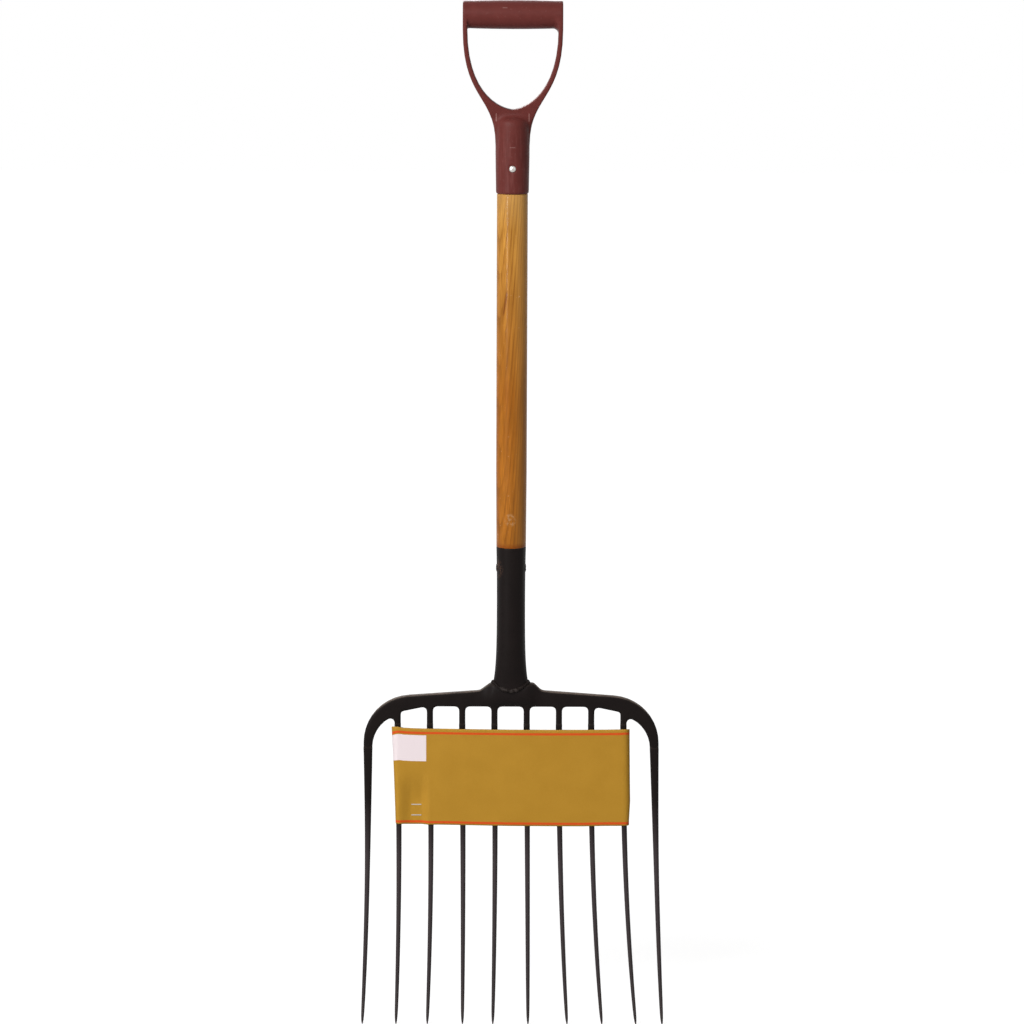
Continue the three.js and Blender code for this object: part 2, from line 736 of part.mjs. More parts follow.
// Horizontal section of the sleeve at a share of its height, grown by a distance, at a level
function cardRing(share, grow, z) {
  const drop = cardTopDrop + share * cardHeight;
  const slack = THREE.MathUtils.lerp(cardTopSlack, cardBottomSlack, share);
  const tineShare = drop / tineLength;
  const reach = slack + grow;
  const halfDepth = headThickness / 2 * along(tineTaperShares, tineShare) + reach;
  const closed = pinchGap / 2 + grow;
  const panel = [];
  for (const side of [-1, 1]) {
    const easeLength = side < 0 ? leftPinchEase : rightPinchEase;
    for (let i = 0; i <= pinchSteps; i++) {
      const away = side < 0 ? 1 - i / pinchSteps : i / pinchSteps;
      const drawnIn = pinchAt(share) * (1 - THREE.MathUtils.smoothstep(away, 0, 1));
      const depth = THREE.MathUtils.lerp(halfDepth, closed, drawnIn);
      panel.push([pinchX + side * (pinchHalfWidth + easeLength * away), depth]);
    }
  }
  const end = (tine, from) => Array.from({ length: cardEndSteps + 1 }, (_, i) => {
    const angle = from + i / cardEndSteps * Math.PI;
    return new THREE.Vector3(
      tineX(tine, tineShare) + (tineHalfWidth(tine, tineShare) + reach) * Math.cos(angle),
      halfDepth * Math.sin(angle),
      z,
    );
  });
  return [
    ...panel.map(([x, depth]) => new THREE.Vector3(x, -depth, z)),
    ...end(tineCount - 2, -Math.PI / 2),
    ...panel.map(([x, depth]) => new THREE.Vector3(x, depth, z)).reverse(),
    ...end(1, Math.PI / 2),
  ];
}

function makeCardSleeve() {
  const shares = cardStationShares.toReversed();
  const levelAt = (share) => cardTop - share * cardHeight;
  const outer = loft(shares.map((share) => cardRing(share, cardWall, levelAt(share))));
  const inner = loft(shares.map((share) => {
    const past = share === 0 ? overrun : share === 1 ? -overrun : 0;
    return cardRing(share, 0, levelAt(share) + past);
  }));
  let sleeve = outer.subtract(inner);
  for (const level of stapleLevels) {
    for (const side of [-1, 1]) {
      const slot = new THREE.BoxGeometry(stapleWire + 2 * fit, 2 * headThickness, stapleHeight + 2 * fit);
      slot.translate(pinchX + side * (stapleLength - stapleWire) / 2, 0, level);
      sleeve = sleeve.subtract(solid(slot));
    }
  }
  return sleeve;
}

// Staple: crown across the front, legs through both panels, ends turned in at the back
function makeStaple(level) {
  const face = pinchGap / 2 + cardWall;
  const outside = stapleLength / 2;
  const inside = outside - stapleWire;
  const outline = new THREE.Shape([
    [-outside, -face - stapleWire], [outside, -face - stapleWire], [outside, face + stapleWire],
    [outside - stapleClinch, face + stapleWire], [outside - stapleClinch, face], [inside, face],
    [inside, -face], [-inside, -face], [-inside, face], [stapleClinch - outside, face],
    [stapleClinch - outside, face + stapleWire], [-outside, face + stapleWire],
  ].map(([x, y]) => new THREE.Vector2(x, y)));
  const geometry = new THREE.ExtrudeGeometry(outline, { depth: stapleHeight, bevelEnabled: false });
  geometry.translate(pinchX, 0, level - stapleHeight / 2);
  return solid(geometry);
}

const group = new THREE.Group();
const fork = new THREE.Group();
fork.position.z = -hangLevel;
group.add(fork);
fork.add(piece('crossbar', makeCrossbar(), blackEnamel));
for (let tine = 0; tine < tineCount; tine++) {
  fork.add(piece(`tine_${String(tine + 1).padStart(2, '0')}`, makeTine(tine), blackEnamel));
}
fork.add(piece('socket', makeSocket(), blackEnamel));
fork.add(piece('socket_weld', makeWeld(), blackEnamel));
fork.add(piece('socket_rivet', makeSocketRivet(), blackEnamel));
fork.add(piece('shaft', makeShaft(), ash));
fork.add(piece('d_grip', makeGrip(), burgundyPolypropylene));
fork.add(piece('grip_rivet', makeGripRivet(), brightSteel));
fork.add(piece('card_sleeve', makeCardSleeve(), goldCard));
fork.add(piece('staple_upper', makeStaple(stapleLevels[0]), brightSteel));
fork.add(piece('staple_lower', makeStaple(stapleLevels[1]), brightSteel));

export default group;
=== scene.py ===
import math
import bmesh
import bpy
import numpy as np
from mathutils import Matrix, Vector, noise


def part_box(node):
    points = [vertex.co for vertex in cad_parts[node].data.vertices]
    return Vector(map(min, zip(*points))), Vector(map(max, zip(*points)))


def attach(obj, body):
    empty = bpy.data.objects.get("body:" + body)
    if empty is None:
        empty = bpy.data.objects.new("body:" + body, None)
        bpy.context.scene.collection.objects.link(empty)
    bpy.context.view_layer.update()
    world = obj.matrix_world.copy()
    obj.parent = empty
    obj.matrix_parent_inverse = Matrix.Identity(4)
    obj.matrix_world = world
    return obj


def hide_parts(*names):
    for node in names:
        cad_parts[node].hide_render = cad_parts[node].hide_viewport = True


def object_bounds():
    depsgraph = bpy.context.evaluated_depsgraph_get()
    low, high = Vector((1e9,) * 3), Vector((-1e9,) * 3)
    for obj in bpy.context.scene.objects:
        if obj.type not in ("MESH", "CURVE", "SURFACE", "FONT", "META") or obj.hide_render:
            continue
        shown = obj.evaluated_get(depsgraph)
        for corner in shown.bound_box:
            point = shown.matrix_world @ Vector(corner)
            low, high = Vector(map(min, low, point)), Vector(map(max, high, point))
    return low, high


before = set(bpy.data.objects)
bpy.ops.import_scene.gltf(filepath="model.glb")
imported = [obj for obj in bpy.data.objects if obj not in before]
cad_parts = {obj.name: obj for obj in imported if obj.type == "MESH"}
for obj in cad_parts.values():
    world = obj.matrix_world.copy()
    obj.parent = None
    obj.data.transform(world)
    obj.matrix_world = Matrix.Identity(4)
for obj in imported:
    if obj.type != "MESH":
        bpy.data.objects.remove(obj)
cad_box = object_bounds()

# Crossbar with the boss and the stubs of the tines
# One forging of spring steel, whose corners are rounded by the dies and by hand filing.
# It is dipped in black enamel, which stays thick in the corners and thin along the edges.
mm = 0.001
forging_grain = 0.8 * mm
forging_passes = 12
boss_passes = 300
boss_half_width = 50 * mm
boss_fade = 12 * mm
face_depth = 5 * mm
face_fade = 0.5 * mm
sharp_angle = math.radians(40)


def linear(colour):
    """Linear values of an sRGB hex colour, with full opacity."""
    channels = [(colour >> shift & 255) / 255 for shift in (16, 8, 0)]
    return [c / 12.92 if c <= 0.04045 else ((c + 0.055) / 1.055) ** 2.4 for c in channels] + [1]


def wire(made, inputs):
    """Sets the inputs of a node to values, or links them to sockets or to nodes' first results."""
    for key, value in inputs.items():
        if isinstance(value, bpy.types.Node):
            value = next(output for output in value.outputs if output.enabled)
        if isinstance(value, bpy.types.NodeSocket):
            made.id_data.links.new(value, made.inputs[key])
        else:
            made.inputs[key].default_value = value


def node(tree, kind, inputs=None, **settings):
    """Adds a shader node with its settings and its inputs, which are named or numbered.

    A colour Mix takes a share in 0 and goes from colour 6 to colour 7. A MapRange reads the
    value in 0 between 1 and 2, and gives 3 to 4. A COMPARE gives 1 where 0 is within 2 of 1.
    """
    made = tree.nodes.new("ShaderNode" + kind)
    for name, value in settings.items():
        setattr(made, name, value)
    wire(made, inputs or {})
    return made


def material(name):
    """An empty material with its surface shader."""
    made = bpy.data.materials.new(name)
    made.use_nodes = True
    return made, made.node_tree, made.node_tree.nodes["Principled BSDF"]


def new_piece(name, vertices, faces, finish):
    """A smooth shaded mesh object in the frame's own coordinates, with its material."""
    mesh = bpy.data.meshes.new(name)
    mesh.from_pydata([tuple(v) for v in vertices], [], faces)
    mesh.materials.append(finish)
    mesh.shade_smooth()
    mesh.set_sharp_from_angle(angle=sharp_angle)
    made = bpy.data.objects.new(name, mesh)
    bpy.context.scene.collection.objects.link(made)
    return made


def skin_over(name, node_name, grain, finish, vertices=(), faces=()):
    """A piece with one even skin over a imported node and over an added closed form."""
    form = bmesh.new()
    form.from_mesh(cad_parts[node_name].data)
    corners = [form.verts.new(point) for point in vertices]
    for face in faces:
        form.faces.new([corners[i] for i in face])
    made = new_piece(name, [], [], finish)
    form.to_mesh(made.data)
    form.free()
    skin = made.modifiers.new("skin", "REMESH")
    skin.mode = "VOXEL"
    skin.voxel_size = grain
    skin.use_smooth_shade = True
    evaluated = made.evaluated_get(bpy.context.evaluated_depsgraph_get())
    made.data = bpy.data.meshes.new_from_object(evaluated)
    made.modifiers.clear()
    made.data.materials.clear()
    made.data.materials.append(finish)
    return made


def relax(piece, passes, share_at=None, give_back=0):
    """Draws each point of a piece half way to its neighbours' middle, or by a share of that.

    With a give_back, each pass then pushes the points out again by that, which keeps the size.
    """
    mesh = piece.data
    points = np.empty(len(mesh.vertices) * 3)
    mesh.vertices.foreach_get("co", points)
    points = points.reshape(-1, 3)
    ends = np.empty(len(mesh.edges) * 2, dtype=np.int32)
    mesh.edges.foreach_get("vertices", ends)
    one, two = ends.reshape(-1, 2).T
    count = len(points)
    beside = np.bincount(ends, minlength=count)
    share = share_at(points) if share_at else np.ones(count)
    for pull in [0.5, -give_back] * passes if give_back else [0.5] * passes:
        for axis in range(3):
            line = points[:, axis]
            total = np.bincount(one, line[two], count) + np.bincount(two, line[one], count)
            points[:, axis] = line + pull * share * (total / beside - line)
    mesh.vertices.foreach_set("co", points.ravel())
    mesh.update()


# Black enamel, dipped and baked: near black, a satin gloss with a faint orange peel, brown dust
# on what faces up except beside the weld, which also paints the light on the tops, rubbed brown
# along the sharp edges, partly as a painted edge highlight, and worn to a dull grey from half way
# down the tines, partly as a painted highlight where they bow up towards the lamps
enamel, tree, surface = material("black_baked_enamel")
spot = node(tree, "TexCoord").outputs["Object"]
where = node(tree, "SeparateXYZ", {0: spot})
facing = node(tree, "SeparateXYZ", {0: node(tree, "NewGeometry").outputs["Normal"]})
root_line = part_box("tine_05")[1].z
points_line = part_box("tine_05")[0].z
cloud = node(tree, "TexNoise", {
    "Vector": spot, "Scale": 1 / (14 * mm), "Detail": 5.0, "Roughness": 0.6,
})
peel = node(tree, "TexNoise", {"Vector": spot, "Scale": 1 / (1.6 * mm), "Detail": 2.0})
speck = node(tree, "TexNoise", {
    "Vector": spot, "Scale": 1 / (2.2 * mm), "Detail": 3.0, "Roughness": 0.7,
})
# Dust and painted highlight together: what faces up is made paler brown, as the light from above
# would make it
upward = node(tree, "MapRange", {0: facing.outputs["Z"], 1: 0.4, 2: 0.75, 3: 0.0, 4: 1.5})
dust_and_top_highlight_cloud = node(tree, "Math", {0: upward, 1: cloud}, operation="MULTIPLY")
from_middle = node(tree, "Math", {0: where.outputs["X"]}, operation="ABSOLUTE")
off_boss = node(tree, "MapRange", {0: from_middle, 1: 25 * mm, 2: 30 * mm, 3: 0.15, 4: 1.0})
dust_and_top_highlight_amount = node(tree, "Math", {0: dust_and_top_highlight_cloud, 1: off_boss}, operation="MULTIPLY")
sharpness = node(tree, "NewGeometry").outputs["Pointiness"]
# Pale brown on the sharp edges: partly wear, partly a painted edge highlight
edge_wear_and_highlight = node(tree, "MapRange", {0: sharpness, 1: 0.53, 2: 0.64, 3: 0.0, 4: 0.5})
edge_wear_and_highlight_amount = node(tree, "Math", {0: edge_wear_and_highlight, 1: speck}, operation="MULTIPLY")
tone = node(tree, "Mix", {0: cloud, 6: linear(0x120E0D), 7: linear(0x1C1615)}, data_type="RGBA")
dust_and_top_highlight_tone = node(tree, "Mix", {0: dust_and_top_highlight_amount, 6: tone, 7: linear(0x6A5E56)}, data_type="RGBA")
edge_rubbed_and_highlighted = node(tree, "Mix", {0: edge_wear_and_highlight_amount, 6: dust_and_top_highlight_tone, 7: linear(0x6A5A50)}, data_type="RGBA")
# Duller grey from half way down the tines: partly wear, partly a painted highlight where they bow
# up towards the lamps
tine_wear_and_highlight_start = node(tree, "MapRange", {
    0: where.outputs["Z"], 1: root_line - 95 * mm, 2: root_line - 175 * mm, 3: 0.0, 4: 0.56,
})
tine_wear_and_highlight_end = node(tree, "MapRange", {
    0: where.outputs["Z"], 1: root_line - 200 * mm, 2: points_line, 3: 1.0, 4: 0.55,
})
tine_wear_and_highlight = node(tree, "Math", {0: tine_wear_and_highlight_start, 1: tine_wear_and_highlight_end}, operation="MULTIPLY")
tine_worn_and_highlighted = node(tree, "Mix", {0: tine_wear_and_highlight, 6: edge_rubbed_and_highlighted, 7: linear(0x4E4648)}, data_type="RGBA")
gloss = node(tree, "MapRange", {0: cloud, 1: 0.3, 2: 0.7, 3: 0.36, 4: 0.52})
skin = node(tree, "Bump", {"Height": peel, "Strength": 0.35, "Distance": 0.05 * mm})
wire(surface, {
    "Base Color": tine_worn_and_highlighted, "Roughness": gloss, "Normal": skin, "Specular IOR Level": 0.06,
})


def boss_share(points):
    """1 on the faces of the boss, which the dies blend into the plate, and 0 along its outline."""
    across, deep = abs(points[:, 0]), abs(points[:, 1])
    on_face = np.clip((deep - face_depth + face_fade) / face_fade, 0, 1)
    return on_face * np.clip((boss_half_width - across) / boss_fade, 0, 1)


crossbar = skin_over("crossbar_forged", "crossbar", forging_grain, enamel)
relax(crossbar, forging_passes)
relax(crossbar, boss_passes, boss_share)
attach(crossbar, "root")
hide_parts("crossbar")

# Ten tines
# Drawn down from the crossbar's stubs to oval points, dished forward over a former, and set by
# eye, so each leans and bows a little its own way. Same steel and enamel as the crossbar.
tine_count = 10
tine_pitch = 41.55 * mm
left_outer_pitch = 38.4 * mm
right_outer_pitch = 40 * mm
tine_width = 8.1 * mm
outer_tine_width = 11.4 * mm
tine_thickness = 10 * mm
straight_length = 136 * mm
bend_radius = 457 * mm
bend_angle = math.radians(32)
outer_root_drop = 31 * mm
stub_overlap = 3 * mm
stub_cover = 0.1 * mm
taper_places = [0, 0.12, 0.25, 0.36, 0.46, 0.55, 0.64, 0.73, 0.82, 0.9, 0.95, 0.975, 0.99, 1]
taper_shares = [1, 0.96, 0.9, 0.86, 0.82, 0.78, 0.74, 0.7, 0.65, 0.59, 0.53, 0.46, 0.34, 0.14]
lean_shares = [0, 0.15, 0.16, 0.09, 0.13, 0.1, 0.03, 0, 0.02, 0.21]
bow_shares = [-0.14, -0.17, -0.21, -0.05, -0.15, -0.03, 0.25, 0.36, 0.39, 0.05]
root_corner = 2.5 * mm
oval_share = 0.92
oval_start_share = 0.25
outer_taper_share = 0.5
outer_taper_curve = 1.5
stub_lip_share = 0.2
tine_stations = 72
station_curve = 1.25
corner_steps = 5
tine_length = straight_length + bend_radius * bend_angle


def smoothstep(value, low, high):
    """0 below low, 1 above high, and an even curve between them."""
    share = min(max((value - low) / (high - low), 0), 1)
    return share * share * (3 - 2 * share)


def loft(rings, closed=False):
    """Vertices and faces of a skin over rings of points, capped at its ends if it is open."""
    size = len(rings[0])
    count = len(rings)
    faces = []
    for ring in range(count if closed else count - 1):
        here, after = ring * size, (ring + 1) % count * size
        for i in range(size):
            beside = (i + 1) % size
            faces.append((here + i, here + beside, after + beside, after + i))
    if not closed:
        faces.append(tuple(reversed(range(size))))
        faces.append(tuple((count - 1) * size + i for i in range(size)))
    return [point for ring in rings for point in ring], faces


def tine_root_x(tine):
    """Place of a tine's root from left to right. The two outer tines stand closer."""
    middle = (tine_count - 1) / 2
    if tine == 0:
        return (1 - middle) * tine_pitch - left_outer_pitch
    if tine == tine_count - 1:
        return (middle - 1) * tine_pitch + right_outer_pitch
    return (tine - middle) * tine_pitch


def tine_half_width(tine, share):
    """Half width of a tine at a share of its length. The two outer tines start broader."""
    outer = tine in (0, tine_count - 1)
    fade = max(0, 1 - share / outer_taper_share) ** outer_taper_curve if outer else 0
    taper = np.interp(share, taper_places, taper_shares)
    return (tine_width * taper + (outer_tine_width - tine_width) * fade) / 2


def tine_x(tine, share):
    """Place of a tine's middle from left to right at a share of its length."""
    sway = lean_shares[tine] * share + bow_shares[tine] * share ** 2
    return tine_root_x(tine) + tine_pitch * sway


def tine_section(tine, share, swell=0, lift=0):
    """Section at a share of the length, grown by a swell and shifted up by a lift."""
    root_drop = outer_root_drop if tine in (0, tine_count - 1) else 0
    drop = root_drop + (tine_length - root_drop) * share
    bend = max(0, drop - straight_length) / bend_radius
    y = -bend_radius * (1 - math.cos(bend))
    z = root_line - min(drop, straight_length) - bend_radius * math.sin(bend) + lift
    middle = tine_x(tine, share)
    half_width = tine_half_width(tine, share) + swell
    half_depth = tine_thickness / 2 * np.interp(share, taper_places, taper_shares) + swell
    oval = smoothstep(share, 0, oval_start_share)
    root_share_x = root_corner / tine_half_width(tine, 0)
    root_share_y = 2 * root_corner / tine_thickness
    corner_x = half_width * ((1 - oval) * root_share_x + oval * oval_share)
    corner_y = half_depth * ((1 - oval) * root_share_y + oval * oval_share)
    ring = []
    for quarter, (side_x, side_y) in enumerate([(1, 1), (-1, 1), (-1, -1), (1, -1)]):
        for step in range(corner_steps + 1):
            turn = (quarter + step / corner_steps) * math.pi / 2
            across = side_x * (half_width - corner_x) + corner_x * math.cos(turn)
            deep = side_y * (half_depth - corner_y) + corner_y * math.sin(turn)
            ring.append((middle + across, y + deep * math.cos(bend), z - deep * math.sin(bend)))
    return ring


for tine in range(tine_count):
    shares = [1 - (1 - i / tine_stations) ** station_curve for i in range(tine_stations + 1)]
    rings = [
        tine_section(tine, 0, -stub_cover, stub_overlap),
        tine_section(tine, 0, stub_cover, stub_overlap * stub_lip_share),
        tine_section(tine, 0, stub_cover, 0),
    ]
    rings += [tine_section(tine, share) for share in shares[1:]]
    vertices, faces = loft(rings[::-1])
    name = f"tine_{tine + 1:02d}"
    drawn = new_piece(name + "_drawn", vertices, faces, enamel)
    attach(drawn, "root")
    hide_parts(name)

# Socket
# Steel tube swaged to a long taper, flattened at its mouth and scalloped to sit astride the boss.
# Enamelled with the head, with its rim rolled a little where the wood goes in.
socket_length = 177.3 * mm
socket_wall = 2 * mm
waist_radius = 18.05 * mm
rim_flare = 0.95 * mm
rim_flare_length = 30 * mm
mouth_half_width = 22.5 * mm
mouth_half_depth = 12.4 * mm
mouth_flare_length = 24 * mm
scallop_depth = 9 * mm
plate_half_depth = 5.3 * mm
rim_round = 0.8 * mm
socket_sides = 96
socket_stations = 48
rim_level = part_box("socket")[1].z
mouth_level = rim_level - socket_length
scallop_half_width = mouth_half_width * math.sqrt(1 - (plate_half_depth / mouth_half_depth) ** 2)
scallop_radius = (scallop_half_width ** 2 + scallop_depth ** 2) / (2 * scallop_depth)


def socket_axes(height):
    """Half axes of the socket's outside at a height above its mouth."""
    flat = min(1, math.exp(-height / mouth_flare_length))
    rim = rim_flare * math.exp((height - socket_length) / rim_flare_length)
    return (
        waist_radius + (mouth_half_width - waist_radius) * flat + rim,
        waist_radius + (mouth_half_depth - waist_radius) * flat + rim,
    )


def scallop_level(x):
    """Height of the scalloped lip at a distance x from the middle."""
    reach = min(abs(x), scallop_half_width)
    fall = math.sqrt(scallop_radius ** 2 - reach ** 2)
    return mouth_level - scallop_depth + scallop_radius - fall


def socket_ring(grow, share, lift=0):
    """Ring round the socket at a share of the way from the scalloped lip to the rim."""
    ring = []
    for i in range(socket_sides):
        turn = i / socket_sides * 2 * math.pi
        lip = scallop_level((mouth_half_width + grow) * math.cos(turn))
        z = lip + (rim_level - lip) * share + lift
        a, b = socket_axes(z - mouth_level)
        ring.append(((a + grow) * math.cos(turn), (b + grow) * math.sin(turn), z))
    return ring


rim_arc = [math.radians(degrees) for degrees in (0, 22.5, 45, 67.5, 90)]
station_shares = [i / socket_stations for i in range(socket_stations)]
rings = [socket_ring(0, share) for share in station_shares]
rings += [
    socket_ring(rim_round * (math.cos(a) - 1), 1, rim_round * (math.sin(a) - 1))
    for a in rim_arc
]
rings += [
    socket_ring(rim_round * (1 - math.cos(a)) - socket_wall, 1, rim_round * (math.sin(a) - 1))
    for a in rim_arc[::-1]
]
rings += [socket_ring(-socket_wall, share) for share in station_shares[::-1]]
vertices, faces = loft(rings, closed=True)
socket = new_piece("socket_swaged", vertices, faces, enamel)
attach(socket, "root")
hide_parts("socket")

# Weld round the socket's mouth
# A fillet run by hand, one overlapping ripple after another, and enamelled over.
bead_radius = 2.1 * mm
bead_pitch = 2.6 * mm
bead_steps = 8
bead_sides = 14
bead_ripple = 0.6 * mm
bead_wander = 0.9 * mm
bead_wander_rate = 160
bead_girth = math.pi * (mouth_half_width + mouth_half_depth) + 2 * scallop_depth
bead_ripples = round(bead_girth / bead_pitch)

rings = []
for i in range(bead_ripples * bead_steps):
    turn = i / (bead_ripples * bead_steps) * 2 * math.pi
    x = mouth_half_width * math.cos(turn)
    y = mouth_half_depth * math.sin(turn)
    outward = Vector((x / mouth_half_width ** 2, y / mouth_half_depth ** 2, 0)).normalized()
    centre = Vector((x, y, scallop_level(x)))
    wander = noise.noise(centre * bead_wander_rate) * bead_wander
    ripple = bead_ripple * (1 - (i % bead_steps) / bead_steps)
    ring = []
    for side in range(bead_sides):
        lean = side / bead_sides * 2 * math.pi
        reach = outward * math.cos(lean) + Vector((0, 0, math.sin(lean)))
        ring.append(centre + reach * (bead_radius + ripple + wander))
    rings.append(ring)
vertices, faces = loft(rings, closed=True)

# The same enamel over the weld, thicker and more rippled, with a painted highlight in pale grey on
# the lumps in front
thick_enamel = enamel.copy()
thick_enamel.name = "black_enamel_over_weld"
tree = thick_enamel.node_tree
wire(tree.nodes[upward.name], {4: 0.1})
wire(tree.nodes[skin.name], {"Strength": 0.9})
spot = node(tree, "TexCoord").outputs["Object"]
where = node(tree, "SeparateXYZ", {0: spot})
aside = node(tree, "Math", {0: where.outputs["X"]}, operation="ABSOLUTE")
# Painted highlight: paler grey on the lumps in front, where the tops of the bead catch the light
middle = node(tree, "MapRange", {0: aside, 1: 9 * mm, 2: 16 * mm, 3: 1.0, 4: 0.0})
lumps = node(tree, "TexNoise", {"Vector": spot, "Scale": 1 / (4.5 * mm), "Detail": 2.0})
lump_shape = node(tree, "MapRange", {0: lumps, 1: 0.42, 2: 0.6, 3: 0.0, 4: 0.8})
lump_highlight_share = node(tree, "Math", {0: middle, 1: lump_shape}, operation="MULTIPLY")
lump_highlighted = node(tree, "Mix", {
    0: lump_highlight_share, 6: tree.nodes[tine_worn_and_highlighted.name], 7: linear(0x3E3836),
}, data_type="RGBA")
wire(tree.nodes["Principled BSDF"], {"Base Color": lump_highlighted})
weld = new_piece("socket_weld_run", vertices, [face[::-1] for face in faces], thick_enamel)
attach(weld, "root")
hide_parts("socket_weld")

# Shaft
# Ash, turned to a long even taper, with a tenon at each end that fills the socket and the grip.
# Sanded and varnished.
shaft_radius = 19.5 * mm
shaft_foot_radius = 18.9 * mm
shaft_foot_length = 95 * mm
shaft_shoulder = 0.8 * mm
shoulder_round_share = 0.3
grip_tenon_radius = 17.4 * mm
tenon_chamfer = 2.5 * mm
tenon_play = 0.3 * mm
shaft_sides = 96
shaft_foot, shaft_top = (corner.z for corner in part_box("shaft"))
grip_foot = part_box("d_grip")[0].z


def turned(profile, sides):
    """Rings of a profile of (radius, height) turned about the shaft's axis, upwards."""
    turns = [i / sides * 2 * math.pi for i in range(sides)]
    return [[(r * math.cos(a), r * math.sin(a), z) for a in turns] for r, z in profile]


# Varnished ash: amber, with the open early wood of each ring as a fine dark line to the right and
# as a broad slanting figure to the left, where the saw ran along the rings; fibres, drawn coarser
# than the real ones, a short mineral streak, a rub low down, a few scuffs, and a clear coat with
# dimples from the brush, which glows in broken glints along the lit side
ash, tree, surface = material("varnished_ash")
ring_spacing = 3.3 * mm
wave_texture_period = 0.314
log_side = 65 * mm
log_depth = 37.5 * mm
log_lean_side = math.radians(-3)
log_lean_depth = math.radians(1.7)
mark_x, mark_z = -8.5 * mm, grip_foot - 137 * mm
mark_slant = 0.15
mark_half_length = 17 * mm
rub_x, rub_height = -1 * mm, 37 * mm
rub_radius = 9 * mm
spot = node(tree, "TexCoord").outputs["Object"]
where = node(tree, "SeparateXYZ", {0: spot})
log_place = node(tree, "Mapping", {
    "Vector": spot, "Location": (-log_side, -log_depth, 0),
    "Rotation": (log_lean_depth, log_lean_side, 0),
})
long_way = node(tree, "VectorMath", {0: log_place, 1: (1, 1, 0.09)}, operation="MULTIPLY")
rings_seen = node(tree, "TexWave", {
    "Vector": long_way, "Scale": wave_texture_period / ring_spacing, "Distortion": 4.0,
    "Detail": 3.0, "Detail Scale": 0.9, "Detail Roughness": 0.5,
}, wave_type="RINGS", rings_direction="Z", wave_profile="SAW")
fibre_way = node(tree, "VectorMath", {0: log_place, 1: (1, 1, 0.022)}, operation="MULTIPLY")
fibre = node(tree, "TexNoise", {
    "Vector": fibre_way, "Scale": 1 / (1.4 * mm), "Detail": 4.0, "Roughness": 0.65,
})
broad = node(tree, "TexNoise", {"Vector": long_way, "Scale": 1 / (8 * mm), "Detail": 3.0})
line_depth = node(tree, "MapRange", {
    0: where.outputs["X"], 1: -12 * mm, 2: 4 * mm, 3: 0.5, 4: 0.72,
})
early = node(tree, "MapRange", {
    0: rings_seen.outputs["Fac"], 1: 0.5, 2: 0.95, 3: 0.0, 4: line_depth,
}, interpolation_type="SMOOTHSTEP")
pores = node(tree, "MapRange", {0: fibre, 1: 0.38, 2: 0.6, 3: 0.5, 4: 1.0})
streak = node(tree, "Math", {0: early, 1: pores}, operation="MULTIPLY")
low_down = node(tree, "MapRange", {0: where.outputs["Z"], 1: -0.25, 2: -0.46, 3: 0.0, 4: 1.0})
patchy = node(tree, "MapRange", {0: broad, 1: 0.36, 2: 0.62, 3: 0.0, 4: 1.0})
pale = node(tree, "Mix", {0: low_down, 6: linear(0xC88E3C), 7: linear(0xB26C1E)}, data_type="RGBA")
deep = node(tree, "Mix", {0: low_down, 6: linear(0xB07A30), 7: linear(0x965610)}, data_type="RGBA")
body = node(tree, "Mix", {0: patchy, 6: deep, 7: pale}, data_type="RGBA")
fibre_lines = node(tree, "MapRange", {0: fibre, 1: 0.44, 2: 0.6, 3: 0.0, 4: 0.5})
fibrous = node(tree, "Mix", {0: fibre_lines, 6: body, 7: linear(0x8C5614)}, data_type="RGBA")
grained = node(tree, "Mix", {0: streak, 6: fibrous, 7: linear(0x7A460C)}, data_type="RGBA")
# Painted light: the shaded right-hand side of the shaft is lifted to a paler amber, more so higher
# up
right_side_painted_light = node(tree, "MapRange", {0: where.outputs["X"], 1: 2 * mm, 2: 14 * mm, 3: 0.0, 4: 0.55})
high_up = node(tree, "Math", {0: low_down, 1: -0.65, 2: 1.0}, operation="MULTIPLY_ADD")
right_side_painted_light_share = node(tree, "Math", {0: right_side_painted_light, 1: high_up}, operation="MULTIPLY")
right_side_lightened = node(tree, "Mix", {0: right_side_painted_light_share, 6: grained, 7: linear(0xE8A854)}, data_type="RGBA")
near_grip = node(tree, "MapRange", {
    0: where.outputs["Z"], 1: grip_foot - 45 * mm, 2: grip_foot, 3: 0.0, 4: 0.3,
})
lighter = node(tree, "Mix", {0: near_grip, 6: right_side_lightened, 7: linear(0xDCB06C)}, data_type="RGBA")
mark_line = node(tree, "Math", {
    0: where.outputs["Z"], 1: -mark_slant, 2: mark_slant * mark_z - mark_x,
}, operation="MULTIPLY_ADD")
mark_across = node(tree, "Math", {0: where.outputs["X"], 1: mark_line}, operation="ADD")
mark_near = node(tree, "Math", {0: mark_across}, operation="ABSOLUTE")
mark_side = node(tree, "MapRange", {0: mark_near, 1: 0.3 * mm, 2: 1.7 * mm, 3: 0.75, 4: 0.0})
mark_height = node(tree, "Math", {0: where.outputs["Z"], 1: mark_z}, operation="SUBTRACT")
mark_up = node(tree, "Math", {0: mark_height}, operation="ABSOLUTE")
mark_end = node(tree, "MapRange", {
    0: mark_up, 1: mark_half_length * 0.7, 2: mark_half_length, 3: 1.0, 4: 0.0,
})
in_front = node(tree, "Math", {0: where.outputs["Y"], 1: 0.0}, operation="LESS_THAN")
mark_shape = node(tree, "Math", {0: mark_side, 1: mark_end}, operation="MULTIPLY")
mark = node(tree, "Math", {0: mark_shape, 1: in_front}, operation="MULTIPLY")
marked = node(tree, "Mix", {0: mark, 6: lighter, 7: linear(0x6A3208)}, data_type="RGBA")
dimple_way = node(tree, "VectorMath", {0: spot, 1: (1, 1, 0.25)}, operation="MULTIPLY")
